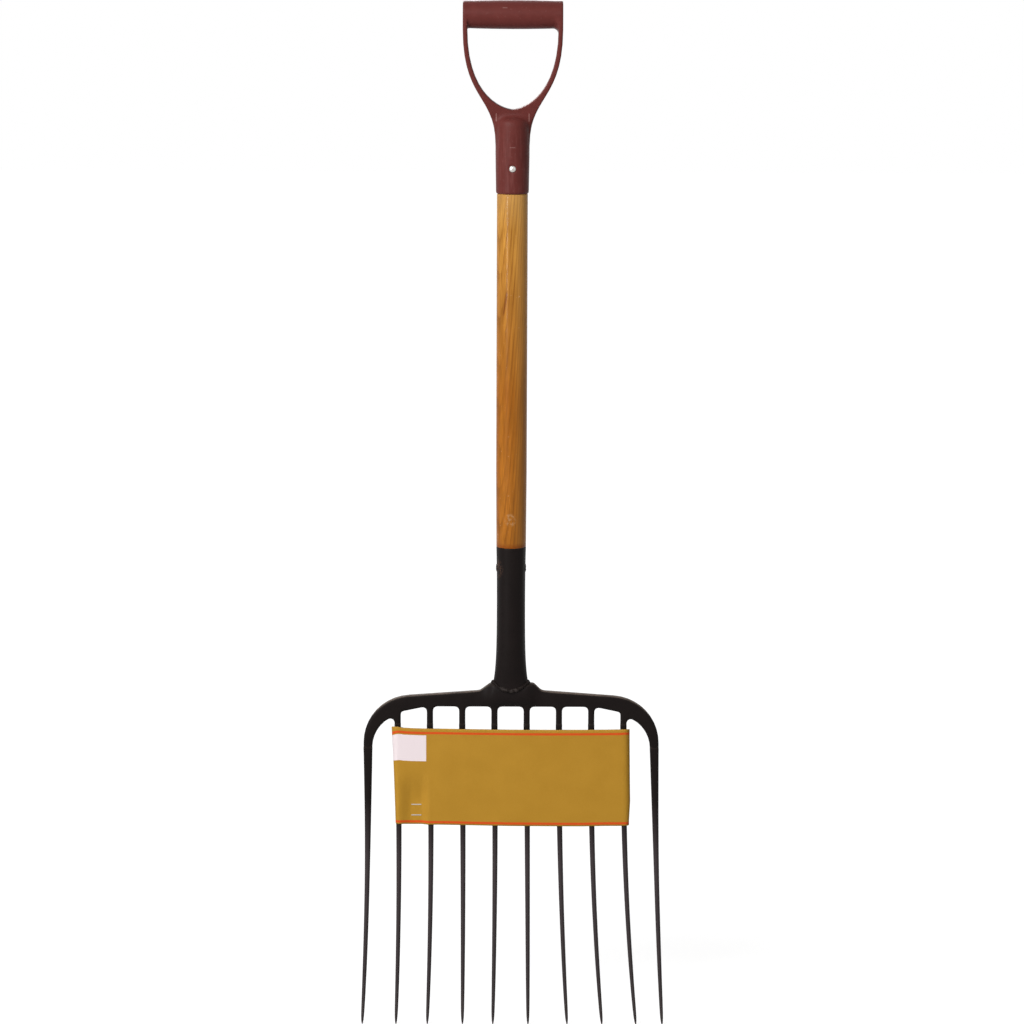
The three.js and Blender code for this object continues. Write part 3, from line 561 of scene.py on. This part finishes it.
dimples = node(tree, "TexNoise", {"Vector": dimple_way, "Scale": 1 / (1.6 * mm), "Detail": 3.0})
scuff_cloud = node(tree, "TexNoise", {
    "Vector": spot, "Scale": 1 / (5 * mm), "Detail": 5.0, "Roughness": 0.7,
})
scuffed = node(tree, "MapRange", {0: scuff_cloud, 1: 0.66, 2: 0.72, 3: 0.0, 4: 0.6})
from_rub = node(tree, "VectorMath", {
    0: spot, 1: (rub_x, -shaft_radius, rim_level + rub_height),
}, operation="SUBTRACT")
rub_distance = node(tree, "VectorMath", {0: from_rub}, operation="LENGTH")
rub_reach = node(tree, "MapRange", {
    0: rub_distance, 1: rub_radius * 0.5, 2: rub_radius, 3: 1.0, 4: 0.0,
})
rub_grit = node(tree, "MapRange", {0: scuff_cloud, 1: 0.44, 2: 0.6, 3: 0.0, 4: 0.45})
rubbed_through = node(tree, "Math", {0: rub_reach, 1: rub_grit}, operation="MULTIPLY")
any_scuff = node(tree, "Math", {0: scuffed, 1: rubbed_through}, operation="MAXIMUM")
handled = node(tree, "Mix", {0: any_scuff, 6: marked, 7: linear(0xD8B486)}, data_type="RGBA")
# Darker in a narrow band just above the socket's rim
at_rim = node(tree, "MapRange", {
    0: where.outputs["Z"], 1: rim_level + 2 * mm, 2: rim_level + 7 * mm, 3: 0.8, 4: 0.0,
})
darker_at_rim = node(tree, "Mix", {0: at_rim, 6: handled, 7: linear(0x8A4404)}, data_type="RGBA")
wood_skin = node(tree, "Bump", {"Height": streak, "Strength": 0.3, "Distance": 0.08 * mm})
coat_skin = node(tree, "Bump", {"Height": dimples, "Strength": 0.5, "Distance": 0.2 * mm})
wood_gloss = node(tree, "MapRange", {0: streak, 1: 0.0, 2: 1.0, 3: 0.42, 4: 0.6})
wire(surface, {
    "Base Color": darker_at_rim, "Roughness": wood_gloss, "Normal": wood_skin, "Specular IOR Level": 0.06,
    "Coat Weight": 0.15, "Coat Roughness": 0.13, "Coat IOR": 1.5, "Coat Normal": coat_skin,
})

tenon_radius = waist_radius - socket_wall - tenon_play
shoulder_round = shaft_shoulder * shoulder_round_share
profile = [
    (tenon_radius - tenon_chamfer, shaft_foot),
    (tenon_radius, shaft_foot + tenon_chamfer),
    (tenon_radius, rim_level),
    (shaft_foot_radius - shaft_shoulder, rim_level),
    (shaft_foot_radius - shoulder_round, rim_level + shoulder_round),
    (shaft_foot_radius, rim_level + shaft_shoulder),
    (shaft_radius, rim_level + shaft_foot_length),
    (shaft_radius, grip_foot - shaft_shoulder),
    (shaft_radius - shaft_shoulder, grip_foot),
    (grip_tenon_radius, grip_foot),
    (grip_tenon_radius, shaft_top - tenon_chamfer),
    (grip_tenon_radius - tenon_chamfer, shaft_top),
]
vertices, faces = loft(turned(profile, shaft_sides))
shaft = new_piece("shaft_turned", vertices, faces, ash)
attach(shaft, "root")
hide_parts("shaft")

# Rivet through the socket
# Soft steel, driven through socket and tenon and hammered down nearly flush, then enamelled.
# The hammer's marks have chipped the enamel.
rivet_sides = 40
head_arc = [math.radians(degrees) for degrees in range(0, 86, 12)]
socket_rivet_radius = 3 * mm
socket_rivet_head = 5 * mm
socket_rivet_head_height = 0.9 * mm
socket_rivet_low, socket_rivet_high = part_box("socket_rivet")
socket_rivet_level = (socket_rivet_low.z + socket_rivet_high.z) / 2
hammer_dent = 0.18 * mm
dent_rate = 400
bruise_inward, bruise_forward = 4 * mm, 8 * mm


def headed_pin(name, half_length, shank, head, head_height, turn, level, dent, finish):
    """Rivet with a domed head at each end, turned from the shaft's axis to its own, at a level."""
    seat = half_length - head_height
    dome = [(head * math.cos(a), seat + head_height * math.sin(a)) for a in head_arc]
    side = [(shank, 0), (shank, seat)] + dome
    profile = [(r, -z) for r, z in side[::-1]] + side[1:]
    rings = []
    for ring in turned(profile, rivet_sides):
        points = [Vector(p) for p in ring]
        dented = [p * (1 + dent / head * noise.noise(p * dent_rate)) for p in points]
        rings.append([turn @ p + Vector((0, 0, level)) for p in dented])
    vertices, faces = loft(rings)
    return new_piece(name, vertices, faces, finish)


# The same enamel, chipped to bright steel where the hammer struck
chipped, tree, surface = material("chipped_black_enamel")
spot = node(tree, "TexCoord").outputs["Object"]
chips = node(tree, "TexNoise", {
    "Vector": spot, "Scale": 1 / (1.1 * mm), "Detail": 3.0, "Roughness": 0.7,
})
bare = node(tree, "MapRange", {0: chips, 1: 0.57, 2: 0.62, 3: 0.0, 4: 1.0})
chip_colour = node(tree, "Mix", {
    0: bare, 6: linear(0x1A1614), 7: linear(0xA8A29A),
}, data_type="RGBA")
chip_skin = node(tree, "Bump", {"Height": chips, "Strength": 0.6, "Distance": 0.2 * mm})
wire(surface, {
    "Base Color": chip_colour, "Metallic": bare, "Normal": chip_skin,
    "Roughness": 0.45, "Specular IOR Level": 0.22,
})

socket_rivet = headed_pin(
    "socket_rivet_hammered", socket_rivet_high.x, socket_rivet_radius, socket_rivet_head,
    socket_rivet_head_height, Matrix.Rotation(math.radians(90), 3, "Y"), socket_rivet_level,
    hammer_dent, chipped,
)
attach(socket_rivet, "root")
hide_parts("socket_rivet")

# The socket's own enamel, bruised to brown primer round the rivet's left-hand head
bruised_enamel = enamel.copy()
bruised_enamel.name = "black_enamel_bruised_by_hammer"
tree = bruised_enamel.node_tree
surface = tree.nodes["Principled BSDF"]
spot = node(tree, "TexCoord").outputs["Object"]
from_head = node(tree, "VectorMath", {
    0: spot, 1: (socket_rivet_low.x + bruise_inward, -bruise_forward, socket_rivet_level),
}, operation="SUBTRACT")
squeezed = node(tree, "VectorMath", {0: from_head, 1: (1, 1, 0.7)}, operation="MULTIPLY")
head_distance = node(tree, "VectorMath", {0: squeezed}, operation="LENGTH")
bruise_reach = node(tree, "MapRange", {0: head_distance, 1: 4 * mm, 2: 10 * mm, 3: 1.0, 4: 0.0})
blows = node(tree, "TexNoise", {
    "Vector": spot, "Scale": 1 / (2.4 * mm), "Detail": 3.0, "Roughness": 0.6,
})
blow_shape = node(tree, "MapRange", {0: blows, 1: 0.48, 2: 0.62, 3: 0.0, 4: 0.7})
bruise = node(tree, "Math", {0: bruise_reach, 1: blow_shape}, operation="MULTIPLY")
bruised_tone = node(tree, "Mix", {
    0: bruise, 6: tree.nodes[tine_worn_and_highlighted.name], 7: linear(0x5C4234),
}, data_type="RGBA")
blow_skin = node(tree, "Bump", {
    "Height": blows, "Strength": bruise_reach, "Distance": 0.6 * mm,
    "Normal": tree.nodes[skin.name],
})
wire(surface, {"Base Color": bruised_tone, "Normal": blow_skin})
socket.data.materials[0] = bruised_enamel

# D-grip
# One moulding of polypropylene, coloured through. The bored neck, the yoke and the barrel shaped
# bar run into each other with the soft corners of the mould.
moulding_grain = 0.7 * mm
moulding_passes = 12
fairing_passes = 40
fairing_return = 0.52
dome_passes = 160
dome_height = 95.5 * mm
dome_half_width = 27 * mm
dome_side_fade = 6 * mm
dome_below, dome_below_fade = 16 * mm, 8 * mm
dome_above, dome_above_fade = 9 * mm, 4 * mm
bar_level = 18 * mm
bar_foot_radius = 17 * mm
arm_inside = 57.05 * mm
corner_radius = 7.5 * mm
corner_turn = math.radians(38)
corner_rings = 12
corner_arc_steps = 8
corner_root = 2 * mm
yoke_middle_rise = 135 * mm
yoke_half_height = 32 * mm
crease_x = 20.6 * mm
crease_rise = 96 * mm
crease_half_length = 5 * mm
crease_half_width = 0.7 * mm
scratch_half_width = 0.6 * mm
scratch_places = [
    (0, grip_foot + 59 * mm, 3.5 * mm), (-10 * mm, bar_level + 9 * mm, 3 * mm),
]

# Moulded polypropylene, burgundy: a waxy satin skin, whose grain is drawn coarser than the real
# one, scuffed paler where it is handled, with drag marks up and down the neck and painted
# highlights as pale lines in the creases beside it; inside the yoke, a painted highlight on its
# right and painted shade on its left
burgundy, tree, surface = material("burgundy_moulded_polypropylene")
spot = node(tree, "TexCoord").outputs["Object"]
where = node(tree, "SeparateXYZ", {0: spot})
mottle = node(tree, "TexNoise", {
    "Vector": spot, "Scale": 1 / (11 * mm), "Detail": 5.0, "Roughness": 0.6,
})
drag_way = node(tree, "VectorMath", {0: spot, 1: (1, 1, 0.08)}, operation="MULTIPLY")
drag = node(tree, "TexNoise", {
    "Vector": drag_way, "Scale": 1 / (2.6 * mm), "Detail": 2.0, "Roughness": 0.6,
})
grit = node(tree, "TexNoise", {"Vector": spot, "Scale": 1 / (1.5 * mm), "Detail": 2.0})
scuff_cloud = node(tree, "TexNoise", {
    "Vector": spot, "Scale": 1 / (4 * mm), "Detail": 6.0, "Roughness": 0.75,
})
scuffed = node(tree, "MapRange", {0: scuff_cloud, 1: 0.6, 2: 0.72, 3: 0.0, 4: 0.35})
plastic_body = node(tree, "Mix", {
    0: mottle, 6: linear(0x562521), 7: linear(0x66302C),
}, data_type="RGBA")
drag_amount = node(tree, "MapRange", {0: drag, 1: 0.5, 2: 0.7, 3: 0.0, 4: 0.5})
on_neck = node(tree, "MapRange", {
    0: where.outputs["Z"], 1: grip_foot + 75 * mm, 2: grip_foot + 95 * mm, 3: 1.0, 4: 0.0,
})
neck_drag = node(tree, "Math", {0: drag_amount, 1: on_neck}, operation="MULTIPLY")
dragged = node(tree, "Mix", {0: neck_drag, 6: plastic_body, 7: linear(0x74423E)}, data_type="RGBA")
scratches = []
for scratch_x, scratch_z, half_length in scratch_places:
    aside = node(tree, "Math", {
        0: where.outputs["X"], 1: scratch_x, 2: half_length,
    }, operation="COMPARE")
    level = node(tree, "Math", {
        0: where.outputs["Z"], 1: scratch_z, 2: scratch_half_width,
    }, operation="COMPARE")
    scratches.append(node(tree, "Math", {0: aside, 1: level}, operation="MULTIPLY"))
either = node(tree, "Math", {0: scratches[0], 1: scratches[1]}, operation="MAXIMUM")
scratch_share = node(tree, "Math", {0: either, 1: 0.5}, operation="MULTIPLY")
marks = node(tree, "Math", {0: scratch_share, 1: scuffed}, operation="MAXIMUM")
handled = node(tree, "Mix", {0: marks, 6: dragged, 7: linear(0x8E6662)}, data_type="RGBA")
# Painted light inside the yoke: a highlight on the up-facing surfaces that face left, and shade on
# those that face right
facing = node(tree, "SeparateXYZ", {0: node(tree, "NewGeometry").outputs["Normal"]})
faces_up = node(tree, "MapRange", {0: facing.outputs["Z"], 1: 0.3, 2: 0.6, 3: 0.0, 4: 1.0})
in_yoke = node(tree, "Math", {
    0: where.outputs["Z"], 1: grip_foot + yoke_middle_rise, 2: yoke_half_height,
}, operation="COMPARE")
yoke_inside = node(tree, "Math", {0: faces_up, 1: in_yoke}, operation="MULTIPLY")
faces_left = node(tree, "MapRange", {0: facing.outputs["X"], 1: 0.0, 2: -0.45, 3: 0.0, 4: 0.45})
faces_right = node(tree, "MapRange", {0: facing.outputs["X"], 1: -0.15, 2: 0.25, 3: 0.0, 4: 0.7})
yoke_painted_highlight_share = node(tree, "Math", {0: yoke_inside, 1: faces_left}, operation="MULTIPLY")
yoke_painted_shade_share = node(tree, "Math", {0: yoke_inside, 1: faces_right}, operation="MULTIPLY")
yoke_inside_highlighted = node(tree, "Mix", {
    0: yoke_painted_highlight_share, 6: handled, 7: linear(0x9A6E68),
}, data_type="RGBA")
yoke_inside_shaded = node(tree, "Mix", {
    0: yoke_painted_shade_share, 6: yoke_inside_highlighted, 7: linear(0x30110F),
}, data_type="RGBA")
# Painted highlights: short pale lines where the neck's tube meets the webs on either side
aside = node(tree, "Math", {0: where.outputs["X"]}, operation="ABSOLUTE")
at_crease = node(tree, "Math", {0: aside, 1: crease_x, 2: crease_half_width}, operation="COMPARE")
crease_up = node(tree, "Math", {
    0: where.outputs["Z"], 1: grip_foot + crease_rise, 2: crease_half_length,
}, operation="COMPARE")
crease = node(tree, "Math", {0: at_crease, 1: crease_up}, operation="MULTIPLY")
crease_highlight_share = node(tree, "Math", {0: crease, 1: 0.4}, operation="MULTIPLY")
crease_highlighted = node(tree, "Mix", {
    0: crease_highlight_share, 6: yoke_inside_shaded, 7: linear(0xA67E78),
}, data_type="RGBA")
plastic_gloss = node(tree, "MapRange", {0: mottle, 1: 0.3, 2: 0.7, 3: 0.38, 4: 0.52})
plastic_skin = node(tree, "Bump", {"Height": grit, "Strength": 0.15, "Distance": 0.05 * mm})
wire(surface, {
    "Base Color": crease_highlighted, "Roughness": plastic_gloss, "Normal": plastic_skin,
    "IOR": 1.49, "Specular IOR Level": 0.1,
})

# Round corner under the bar at the right-hand arm
centre_radius = bar_foot_radius + corner_radius
centre_x = arm_inside - corner_radius
inner_radius = bar_foot_radius - corner_radius
rounded = [
    math.radians(180 - 90 * i / corner_arc_steps) for i in range(corner_arc_steps + 1)
]
profile = [
    (centre_radius + corner_radius * math.cos(a), centre_x + corner_radius * math.sin(a))
    for a in rounded
]
profile += [
    (centre_radius, arm_inside + corner_root), (inner_radius, arm_inside + corner_root),
    (inner_radius, centre_x),
]
rings = []
for i in range(corner_rings + 1):
    turn = corner_turn * (2 * i / corner_rings - 1)
    rings.append([(x, r * math.sin(turn), bar_level - r * math.cos(turn)) for r, x in profile])


def dome_share(points):
    """1 where the neck's rounded top runs out into the yoke, and 0 away from it."""
    across = abs(points[:, 0])
    up = points[:, 2] - grip_foot
    below = np.clip((up - dome_height + dome_below) / dome_below_fade, 0, 1)
    above = np.clip((dome_height + dome_above - up) / dome_above_fade, 0, 1)
    return below * above * np.clip((dome_half_width - across) / dome_side_fade, 0, 1)


grip = skin_over("d_grip_moulded", "d_grip", moulding_grain, burgundy, *loft(rings))
relax(grip, moulding_passes)
relax(grip, fairing_passes, give_back=fairing_return)
relax(grip, dome_passes, dome_share)
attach(grip, "root")
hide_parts("d_grip")

# Rivet through the grip
# Bright steel with a domed head front and back, set on a flat in the neck.
grip_rivet_radius = 2.4 * mm
grip_rivet_head = 4.4 * mm
grip_rivet_head_height = 2.6 * mm
grip_rivet_low, grip_rivet_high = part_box("grip_rivet")
grip_rivet_level = (grip_rivet_low.z + grip_rivet_high.z) / 2

# Bright steel, burnished by the rivet set: it mirrors the lamps through fine scuffs, which are
# drawn coarser than the real ones
steel, tree, surface = material("burnished_steel")
spot = node(tree, "TexCoord").outputs["Object"]
scratch = node(tree, "TexNoise", {
    "Vector": spot, "Scale": 1 / (0.7 * mm), "Detail": 4.0, "Roughness": 0.7,
})
steel_tone = node(tree, "Mix", {
    0: scratch, 6: linear(0x96928C), 7: linear(0xD4D1CD),
}, data_type="RGBA")
steel_gloss = node(tree, "MapRange", {0: scratch, 1: 0.3, 2: 0.7, 3: 0.2, 4: 0.42})
steel_skin = node(tree, "Bump", {"Height": scratch, "Strength": 0.25, "Distance": 0.05 * mm})
wire(surface, {
    "Base Color": steel_tone, "Roughness": steel_gloss, "Normal": steel_skin, "Metallic": 1,
})

grip_rivet = headed_pin(
    "grip_rivet_domed", grip_rivet_high.y, grip_rivet_radius, grip_rivet_head,
    grip_rivet_head_height, Matrix.Rotation(math.radians(90), 3, "X"), grip_rivet_level, 0, steel,
)
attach(grip_rivet, "root")
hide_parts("grip_rivet")

# Card sleeve
# A strip of printed card folded round the inner eight tines, its front and back panels pinched
# together and stapled near the left-hand edge.
card_wall = 0.6 * mm
card_drop = 3.8 * mm
card_height = 126.2 * mm
card_top_slack = 2.2 * mm
card_bottom_slack = 0.5 * mm
edge_places = [0, 0.02, 0.047, 0.08, 0.13, 0.2, 0.33, 0.5, 0.65, 0.8, 0.9, 0.96, 1]
top_edge_rises = [5.6, 3.3, 1.5, 1, 0.5, 0.4, -0.2, -0.7, -0.75, -0.5, -0.2, 0.1, 1.2]
bottom_edge_rises = [0, 0, -0.2, -1, -0.9, -0.8, -1.4, -2.2, -2.3, -2.3, -1.7, -1.6, -1.2]
fold_places = [0, 0.4, 0.75, 0.95, 1]
left_fold_slack = [1.2, 0.2, -0.1, -0.3, -0.4]
right_fold_slack = [1.3, 2.4, 3.2, 1.8, 1.7]
card_back_drop = 3 * mm
card_back_ease = 8 * mm
card_wave = 0.5 * mm
wave_rate_across, wave_rate_down = 14, 1.6
curl_start, curl_share = 2, 0.8
pinch_shift = 3.2 * mm
pinch_half_width = 6.8 * mm
left_pinch_ease = 15 * mm
right_pinch_ease = 9.5 * mm
pinch_gap = 1 * mm
pinch_start_share = 0.4
pinch_full_share = 0.78
card_rows = 56
card_columns = 120
card_end_steps = 10
card_top = root_line - card_drop
card_bottom = card_top - card_height
pinch_x = (tine_root_x(1) + tine_root_x(2)) / 2 + pinch_shift


def card_point(x, side, share):
    """Point at a share of the height, midway through the front (side -1) or back (side 1) panel."""
    slack = card_top_slack + (card_bottom_slack - card_top_slack) * share
    taper = np.interp((card_drop + share * card_height) / tine_length, taper_places, taper_shares)
    half_depth = tine_thickness / 2 * taper + slack + card_wall / 2
    ease = left_pinch_ease if x < pinch_x else right_pinch_ease
    away = smoothstep(abs(x - pinch_x), pinch_half_width, pinch_half_width + ease)
    away = (away + min(max((abs(x - pinch_x) - pinch_half_width) / ease, 0), 1)) / 2
    pinched = smoothstep(share, pinch_start_share, pinch_full_share) * (1 - away)
    waved = noise.noise(Vector((x * wave_rate_across, side, share * wave_rate_down)))
    wave = card_wave * waved * (1 - pinched)
    depth = half_depth * (1 - pinched) + (pinch_gap / 2 + card_wall / 2) * pinched + wave
    across = (x - card_left) / (card_right - card_left)
    off_ends = (x - card_left) * (card_right - x) / card_back_ease ** 2
    back = card_back_drop * smoothstep(side, -1, 1) * min(1, off_ends)
    top = card_top + np.interp(across, edge_places, top_edge_rises) * mm - max(0, back)
    bottom = card_bottom + np.interp(across, edge_places, bottom_edge_rises) * mm
    return x, side * depth, top + (bottom - top) * share


def card_end(tine, share):
    """Centre and half width of the fold round a tine, on the card's middle surface."""
    tine_share = (card_drop + share * card_height) / tine_length
    slack = card_top_slack + (card_bottom_slack - card_top_slack) * share
    slack_there = left_fold_slack if tine == 1 else right_fold_slack
    fold_slack = np.interp(share, fold_places, slack_there) * mm
    half_width = tine_half_width(tine, tine_share) + slack + fold_slack + card_wall / 2
    return tine_x(tine, tine_share), half_width


left_top, right_top = card_end(1, 0), card_end(tine_count - 2, 0)
card_left = left_top[0] - left_top[1]
card_right = right_top[0] + right_top[1]
rings = []
for row in range(card_rows + 1):
    share = row / card_rows
    left, left_reach = card_end(1, share)
    right, right_reach = card_end(tine_count - 2, share)
    ring = [
        card_point(left + (right - left) * i / card_columns, -1, share)
        for i in range(card_columns)
    ]
    for centre, reach, start in ((right, right_reach, -90), (left, left_reach, 90)):
        front = card_point(centre, -1, share)
        rear = card_point(centre, 1, share)
        for step in range(card_end_steps):
            turn = math.radians(start + 180 * step / card_end_steps)
            lift = (1 + math.sin(turn)) / 2
            x = centre + reach * math.cos(turn)
            y = (front[1] + rear[1]) / 2 + (rear[1] - front[1]) / 2 * math.sin(turn)
            ring.append((x, y, front[2] + (rear[2] - front[2]) * lift))
        if start == -90:
            ring += [
                card_point(right + (left - right) * i / card_columns, 1, share)
                for i in range(card_columns)
            ]
    rings.append(ring)

# Card printed gold, varnished by the press: a satin face with faint clouds in the ink and a fine
# fibre, which is drawn coarser than the real one, an orange rule along the top and one along the
# bottom, and a pale bare patch in front at the left
gold_card, tree, surface = material("gold_printed_card")
top_rule_inset = 5.6 * mm
bottom_rule_inset = 3.4 * mm
rule_width = 3 * mm
patch_left, patch_right = -153 * mm, -108.6 * mm
patch_top_inset, patch_bottom_inset = 8.6 * mm, 42.6 * mm
spot = node(tree, "TexCoord").outputs["Object"]
where = node(tree, "SeparateXYZ", {0: spot})
printed_place = node(tree, "SeparateXYZ", {0: node(tree, "UVMap", uv_map="print")})
at_top = node(tree, "Math", {
    0: printed_place.outputs["Y"], 1: top_rule_inset, 2: rule_width / 2,
}, operation="COMPARE")
at_bottom = node(tree, "Math", {
    0: printed_place.outputs["Y"], 1: card_height - bottom_rule_inset, 2: rule_width / 2,
}, operation="COMPARE")
ruled = node(tree, "Math", {0: at_top, 1: at_bottom}, operation="MAXIMUM")
fibres = node(tree, "TexNoise", {
    "Vector": spot, "Scale": 1 / (1.8 * mm), "Detail": 4.0, "Roughness": 0.7,
})
ink_cloud = node(tree, "TexNoise", {"Vector": spot, "Scale": 1 / (28 * mm), "Detail": 3.0})
gold = node(tree, "Mix", {0: ink_cloud, 6: linear(0xA6781E), 7: linear(0xB8882A)}, data_type="RGBA")
fibred = node(tree, "Mix", {0: fibres, 6: gold, 7: linear(0xC89A40)}, data_type="RGBA")
faint_fibres = node(tree, "Mix", {0: 0.35, 6: gold, 7: fibred}, data_type="RGBA")
with_rules = node(tree, "Mix", {0: ruled, 6: faint_fibres, 7: linear(0xD6521C)}, data_type="RGBA")
in_width = node(tree, "Math", {
    0: where.outputs["X"], 1: (patch_left + patch_right) / 2, 2: (patch_right - patch_left) / 2,
}, operation="COMPARE")
in_height = node(tree, "Math", {
    0: printed_place.outputs["Y"], 1: (patch_top_inset + patch_bottom_inset) / 2,
    2: (patch_bottom_inset - patch_top_inset) / 2,
}, operation="COMPARE")
in_front = node(tree, "Math", {0: where.outputs["Y"], 1: 0.0}, operation="LESS_THAN")
in_box = node(tree, "Math", {0: in_width, 1: in_height}, operation="MULTIPLY")
in_patch = node(tree, "Math", {0: in_box, 1: in_front}, operation="MULTIPLY")
printed = node(tree, "Mix", {0: in_patch, 6: with_rules, 7: linear(0xEEE0E2)}, data_type="RGBA")
card_gloss = node(tree, "MapRange", {0: ink_cloud, 1: 0.3, 2: 0.7, 3: 0.48, 4: 0.62})
card_skin = node(tree, "Bump", {"Height": fibres, "Strength": 0.2, "Distance": 0.05 * mm})
wire(surface, {
    "Base Color": printed, "Roughness": card_gloss, "Normal": card_skin,
    "Specular IOR Level": 0.14,
})

# Cut edge of the card: unprinted board, a matt buff with pale specks of pulp
card_core, tree, surface = material("bare_card_edge")
spot = node(tree, "TexCoord").outputs["Object"]
pulp = node(tree, "TexNoise", {"Vector": spot, "Scale": 1 / (0.8 * mm), "Detail": 3.0})
pulp_tone = node(tree, "Mix", {0: pulp, 6: linear(0xC2A266), 7: linear(0xE2D2AC)}, data_type="RGBA")
wire(surface, {"Base Color": pulp_tone, "Roughness": 0.8})

size = len(rings[0])
faces = []
for row in range(card_rows):
    here, below = row * size, (row + 1) * size
    for i in range(size):
        beside = (i + 1) % size
        faces.append((here + i, below + i, below + beside, here + beside))
card = new_piece("card_sleeve_folded", [p for ring in rings for p in ring], faces, gold_card)
card.data.materials.append(card_core)

# How far down the print each point lies: along the card's top edge, but not up its curled corner
print_places = []
for index, vertex in enumerate(card.data.vertices):
    share = index // size / card_rows
    across = (vertex.co.x - card_left) / (card_right - card_left)
    rise = np.interp(across, edge_places, top_edge_rises)
    curl = max(0, rise - curl_start) * curl_share * mm
    print_places.append(share * card_height - curl * (1 - share))
print_map = card.data.uv_layers.new(name="print")
for corner, loop in zip(print_map.data, card.data.loops):
    corner.uv = (0, print_places[loop.vertex_index])
board = card.modifiers.new("board", "SOLIDIFY")
board.thickness = card_wall
board.offset = 0
board.material_offset_rim = 1
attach(card, "root")
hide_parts("card_sleeve")

# Staples
# Flat plated wire, driven through both panels from the front and clinched behind.
wire_round = 0.15 * mm
for name in ("staple_upper", "staple_lower"):
    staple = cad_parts[name]
    staple.data.materials.clear()
    staple.data.materials.append(steel)
    eased = staple.modifiers.new("wire edges", "BEVEL")
    eased.width = wire_round
    eased.segments = 2

# Floor, backdrop, lamps and camera
# A white paper floor that runs out into a white studio, a large soft lamp and a tall strip at the
# left, and weaker lamps in front, at the right and behind.
floor_drop = 0.4 * mm
floor_size = 30.0
floor_level = cad_box[0].z - floor_drop


def shown_share(tree):
    """1 for the rays that show the background in the picture, and 0 for the light it casts."""
    path = node(tree, "LightPath").outputs
    seen = node(tree, "Math", {
        0: path["Is Camera Ray"], 1: path["Is Glossy Ray"],
    }, operation="MAXIMUM")
    return node(tree, "Math", {0: seen, 1: path["Is Transmission Ray"]}, operation="MAXIMUM")


# White paper, matt: it shows as plain white, and keeps the fork's faint shadow
paper, tree, surface = material("white_paper_sweep")
shown = shown_share(tree)
spot = node(tree, "TexCoord").outputs["Object"]
away = node(tree, "VectorMath", {0: spot}, operation="LENGTH")
far_glow = node(tree, "MapRange", {0: away, 1: 2.0, 2: 5.0, 3: 0.8, 4: 1.0})
glow_strength = node(tree, "Math", {0: shown, 1: far_glow}, operation="MULTIPLY")
tree.nodes.remove(surface)
lit = node(tree, "BsdfDiffuse", {"Color": linear(0xA8A8A8)})
glow = node(tree, "Emission", {"Color": linear(0xFFFFFF), "Strength": glow_strength})
both = node(tree, "AddShader", {0: lit, 1: glow})
wire(tree.nodes["Material Output"], {"Surface": both})
half = floor_size / 2
floor = new_piece("floor", [
    (-half, -half, floor_level), (half, -half, floor_level),
    (half, half, floor_level), (-half, half, floor_level),
], [(0, 1, 2, 3)], paper)

world = bpy.data.worlds.new("studio")
world.use_nodes = True
bpy.context.scene.world = world
tree = world.node_tree
world_strength = node(tree, "MapRange", {0: shown_share(tree), 1: 0.0, 2: 1.0, 3: 0.1, 4: 1.0})
wire(tree.nodes["Background"], {"Color": linear(0xFFFFFF), "Strength": world_strength})

lamp_target = Vector((0, 0, (cad_box[0].z + cad_box[1].z) / 2))
for name, place, width, height, power in [
    ("key_lamp", (-2.1, -2.5, 1.9), 1.7, 1.7, 119),
    ("strip_lamp", (-2.6, -3.4, -0.15), 0.4, 1.4, 50),
    ("front_lamp", (-0.5, -3.2, 1.1), 1.6, 1.2, 29),
    ("right_lamp", (2.8, -2.0, 0.2), 1.6, 2.2, 6),
    ("back_lamp", (-0.8, 3.0, 1.2), 1.6, 1.6, 40),
]:
    lamp_data = bpy.data.lights.new(name, "AREA")
    lamp_data.shape = "RECTANGLE"
    lamp_data.size = width
    lamp_data.size_y = height
    lamp_data.energy = power
    lamp = bpy.data.objects.new(name, lamp_data)
    lamp.location = place
    lamp.rotation_euler = (lamp_target - lamp.location).to_track_quat("-Z", "Y").to_euler()
    bpy.context.scene.collection.objects.link(lamp)

camera_distance = 4.66
camera_height = 0.1599
camera_side = 0.9 * mm
camera_down_degrees = 9.4
camera_pitch = math.radians(90 - camera_down_degrees)
camera_roll = 0.0035
sensor = 36
picture_width = 1024
focal_pixels = 3700
camera_data = bpy.data.cameras.new("camera")
camera_data.sensor_width = sensor
camera_data.lens = sensor * focal_pixels / picture_width
camera = bpy.data.objects.new("camera", camera_data)
camera.matrix_world = (
    Matrix.Translation((camera_side, -camera_distance, camera_height))
    @ Matrix.Rotation(camera_pitch, 4, "X") @ Matrix.Rotation(camera_roll, 4, "Z")
)
bpy.context.scene.collection.objects.link(camera)
bpy.context.scene.camera = camera
bpy.context.scene.view_settings.view_transform = "Standard"
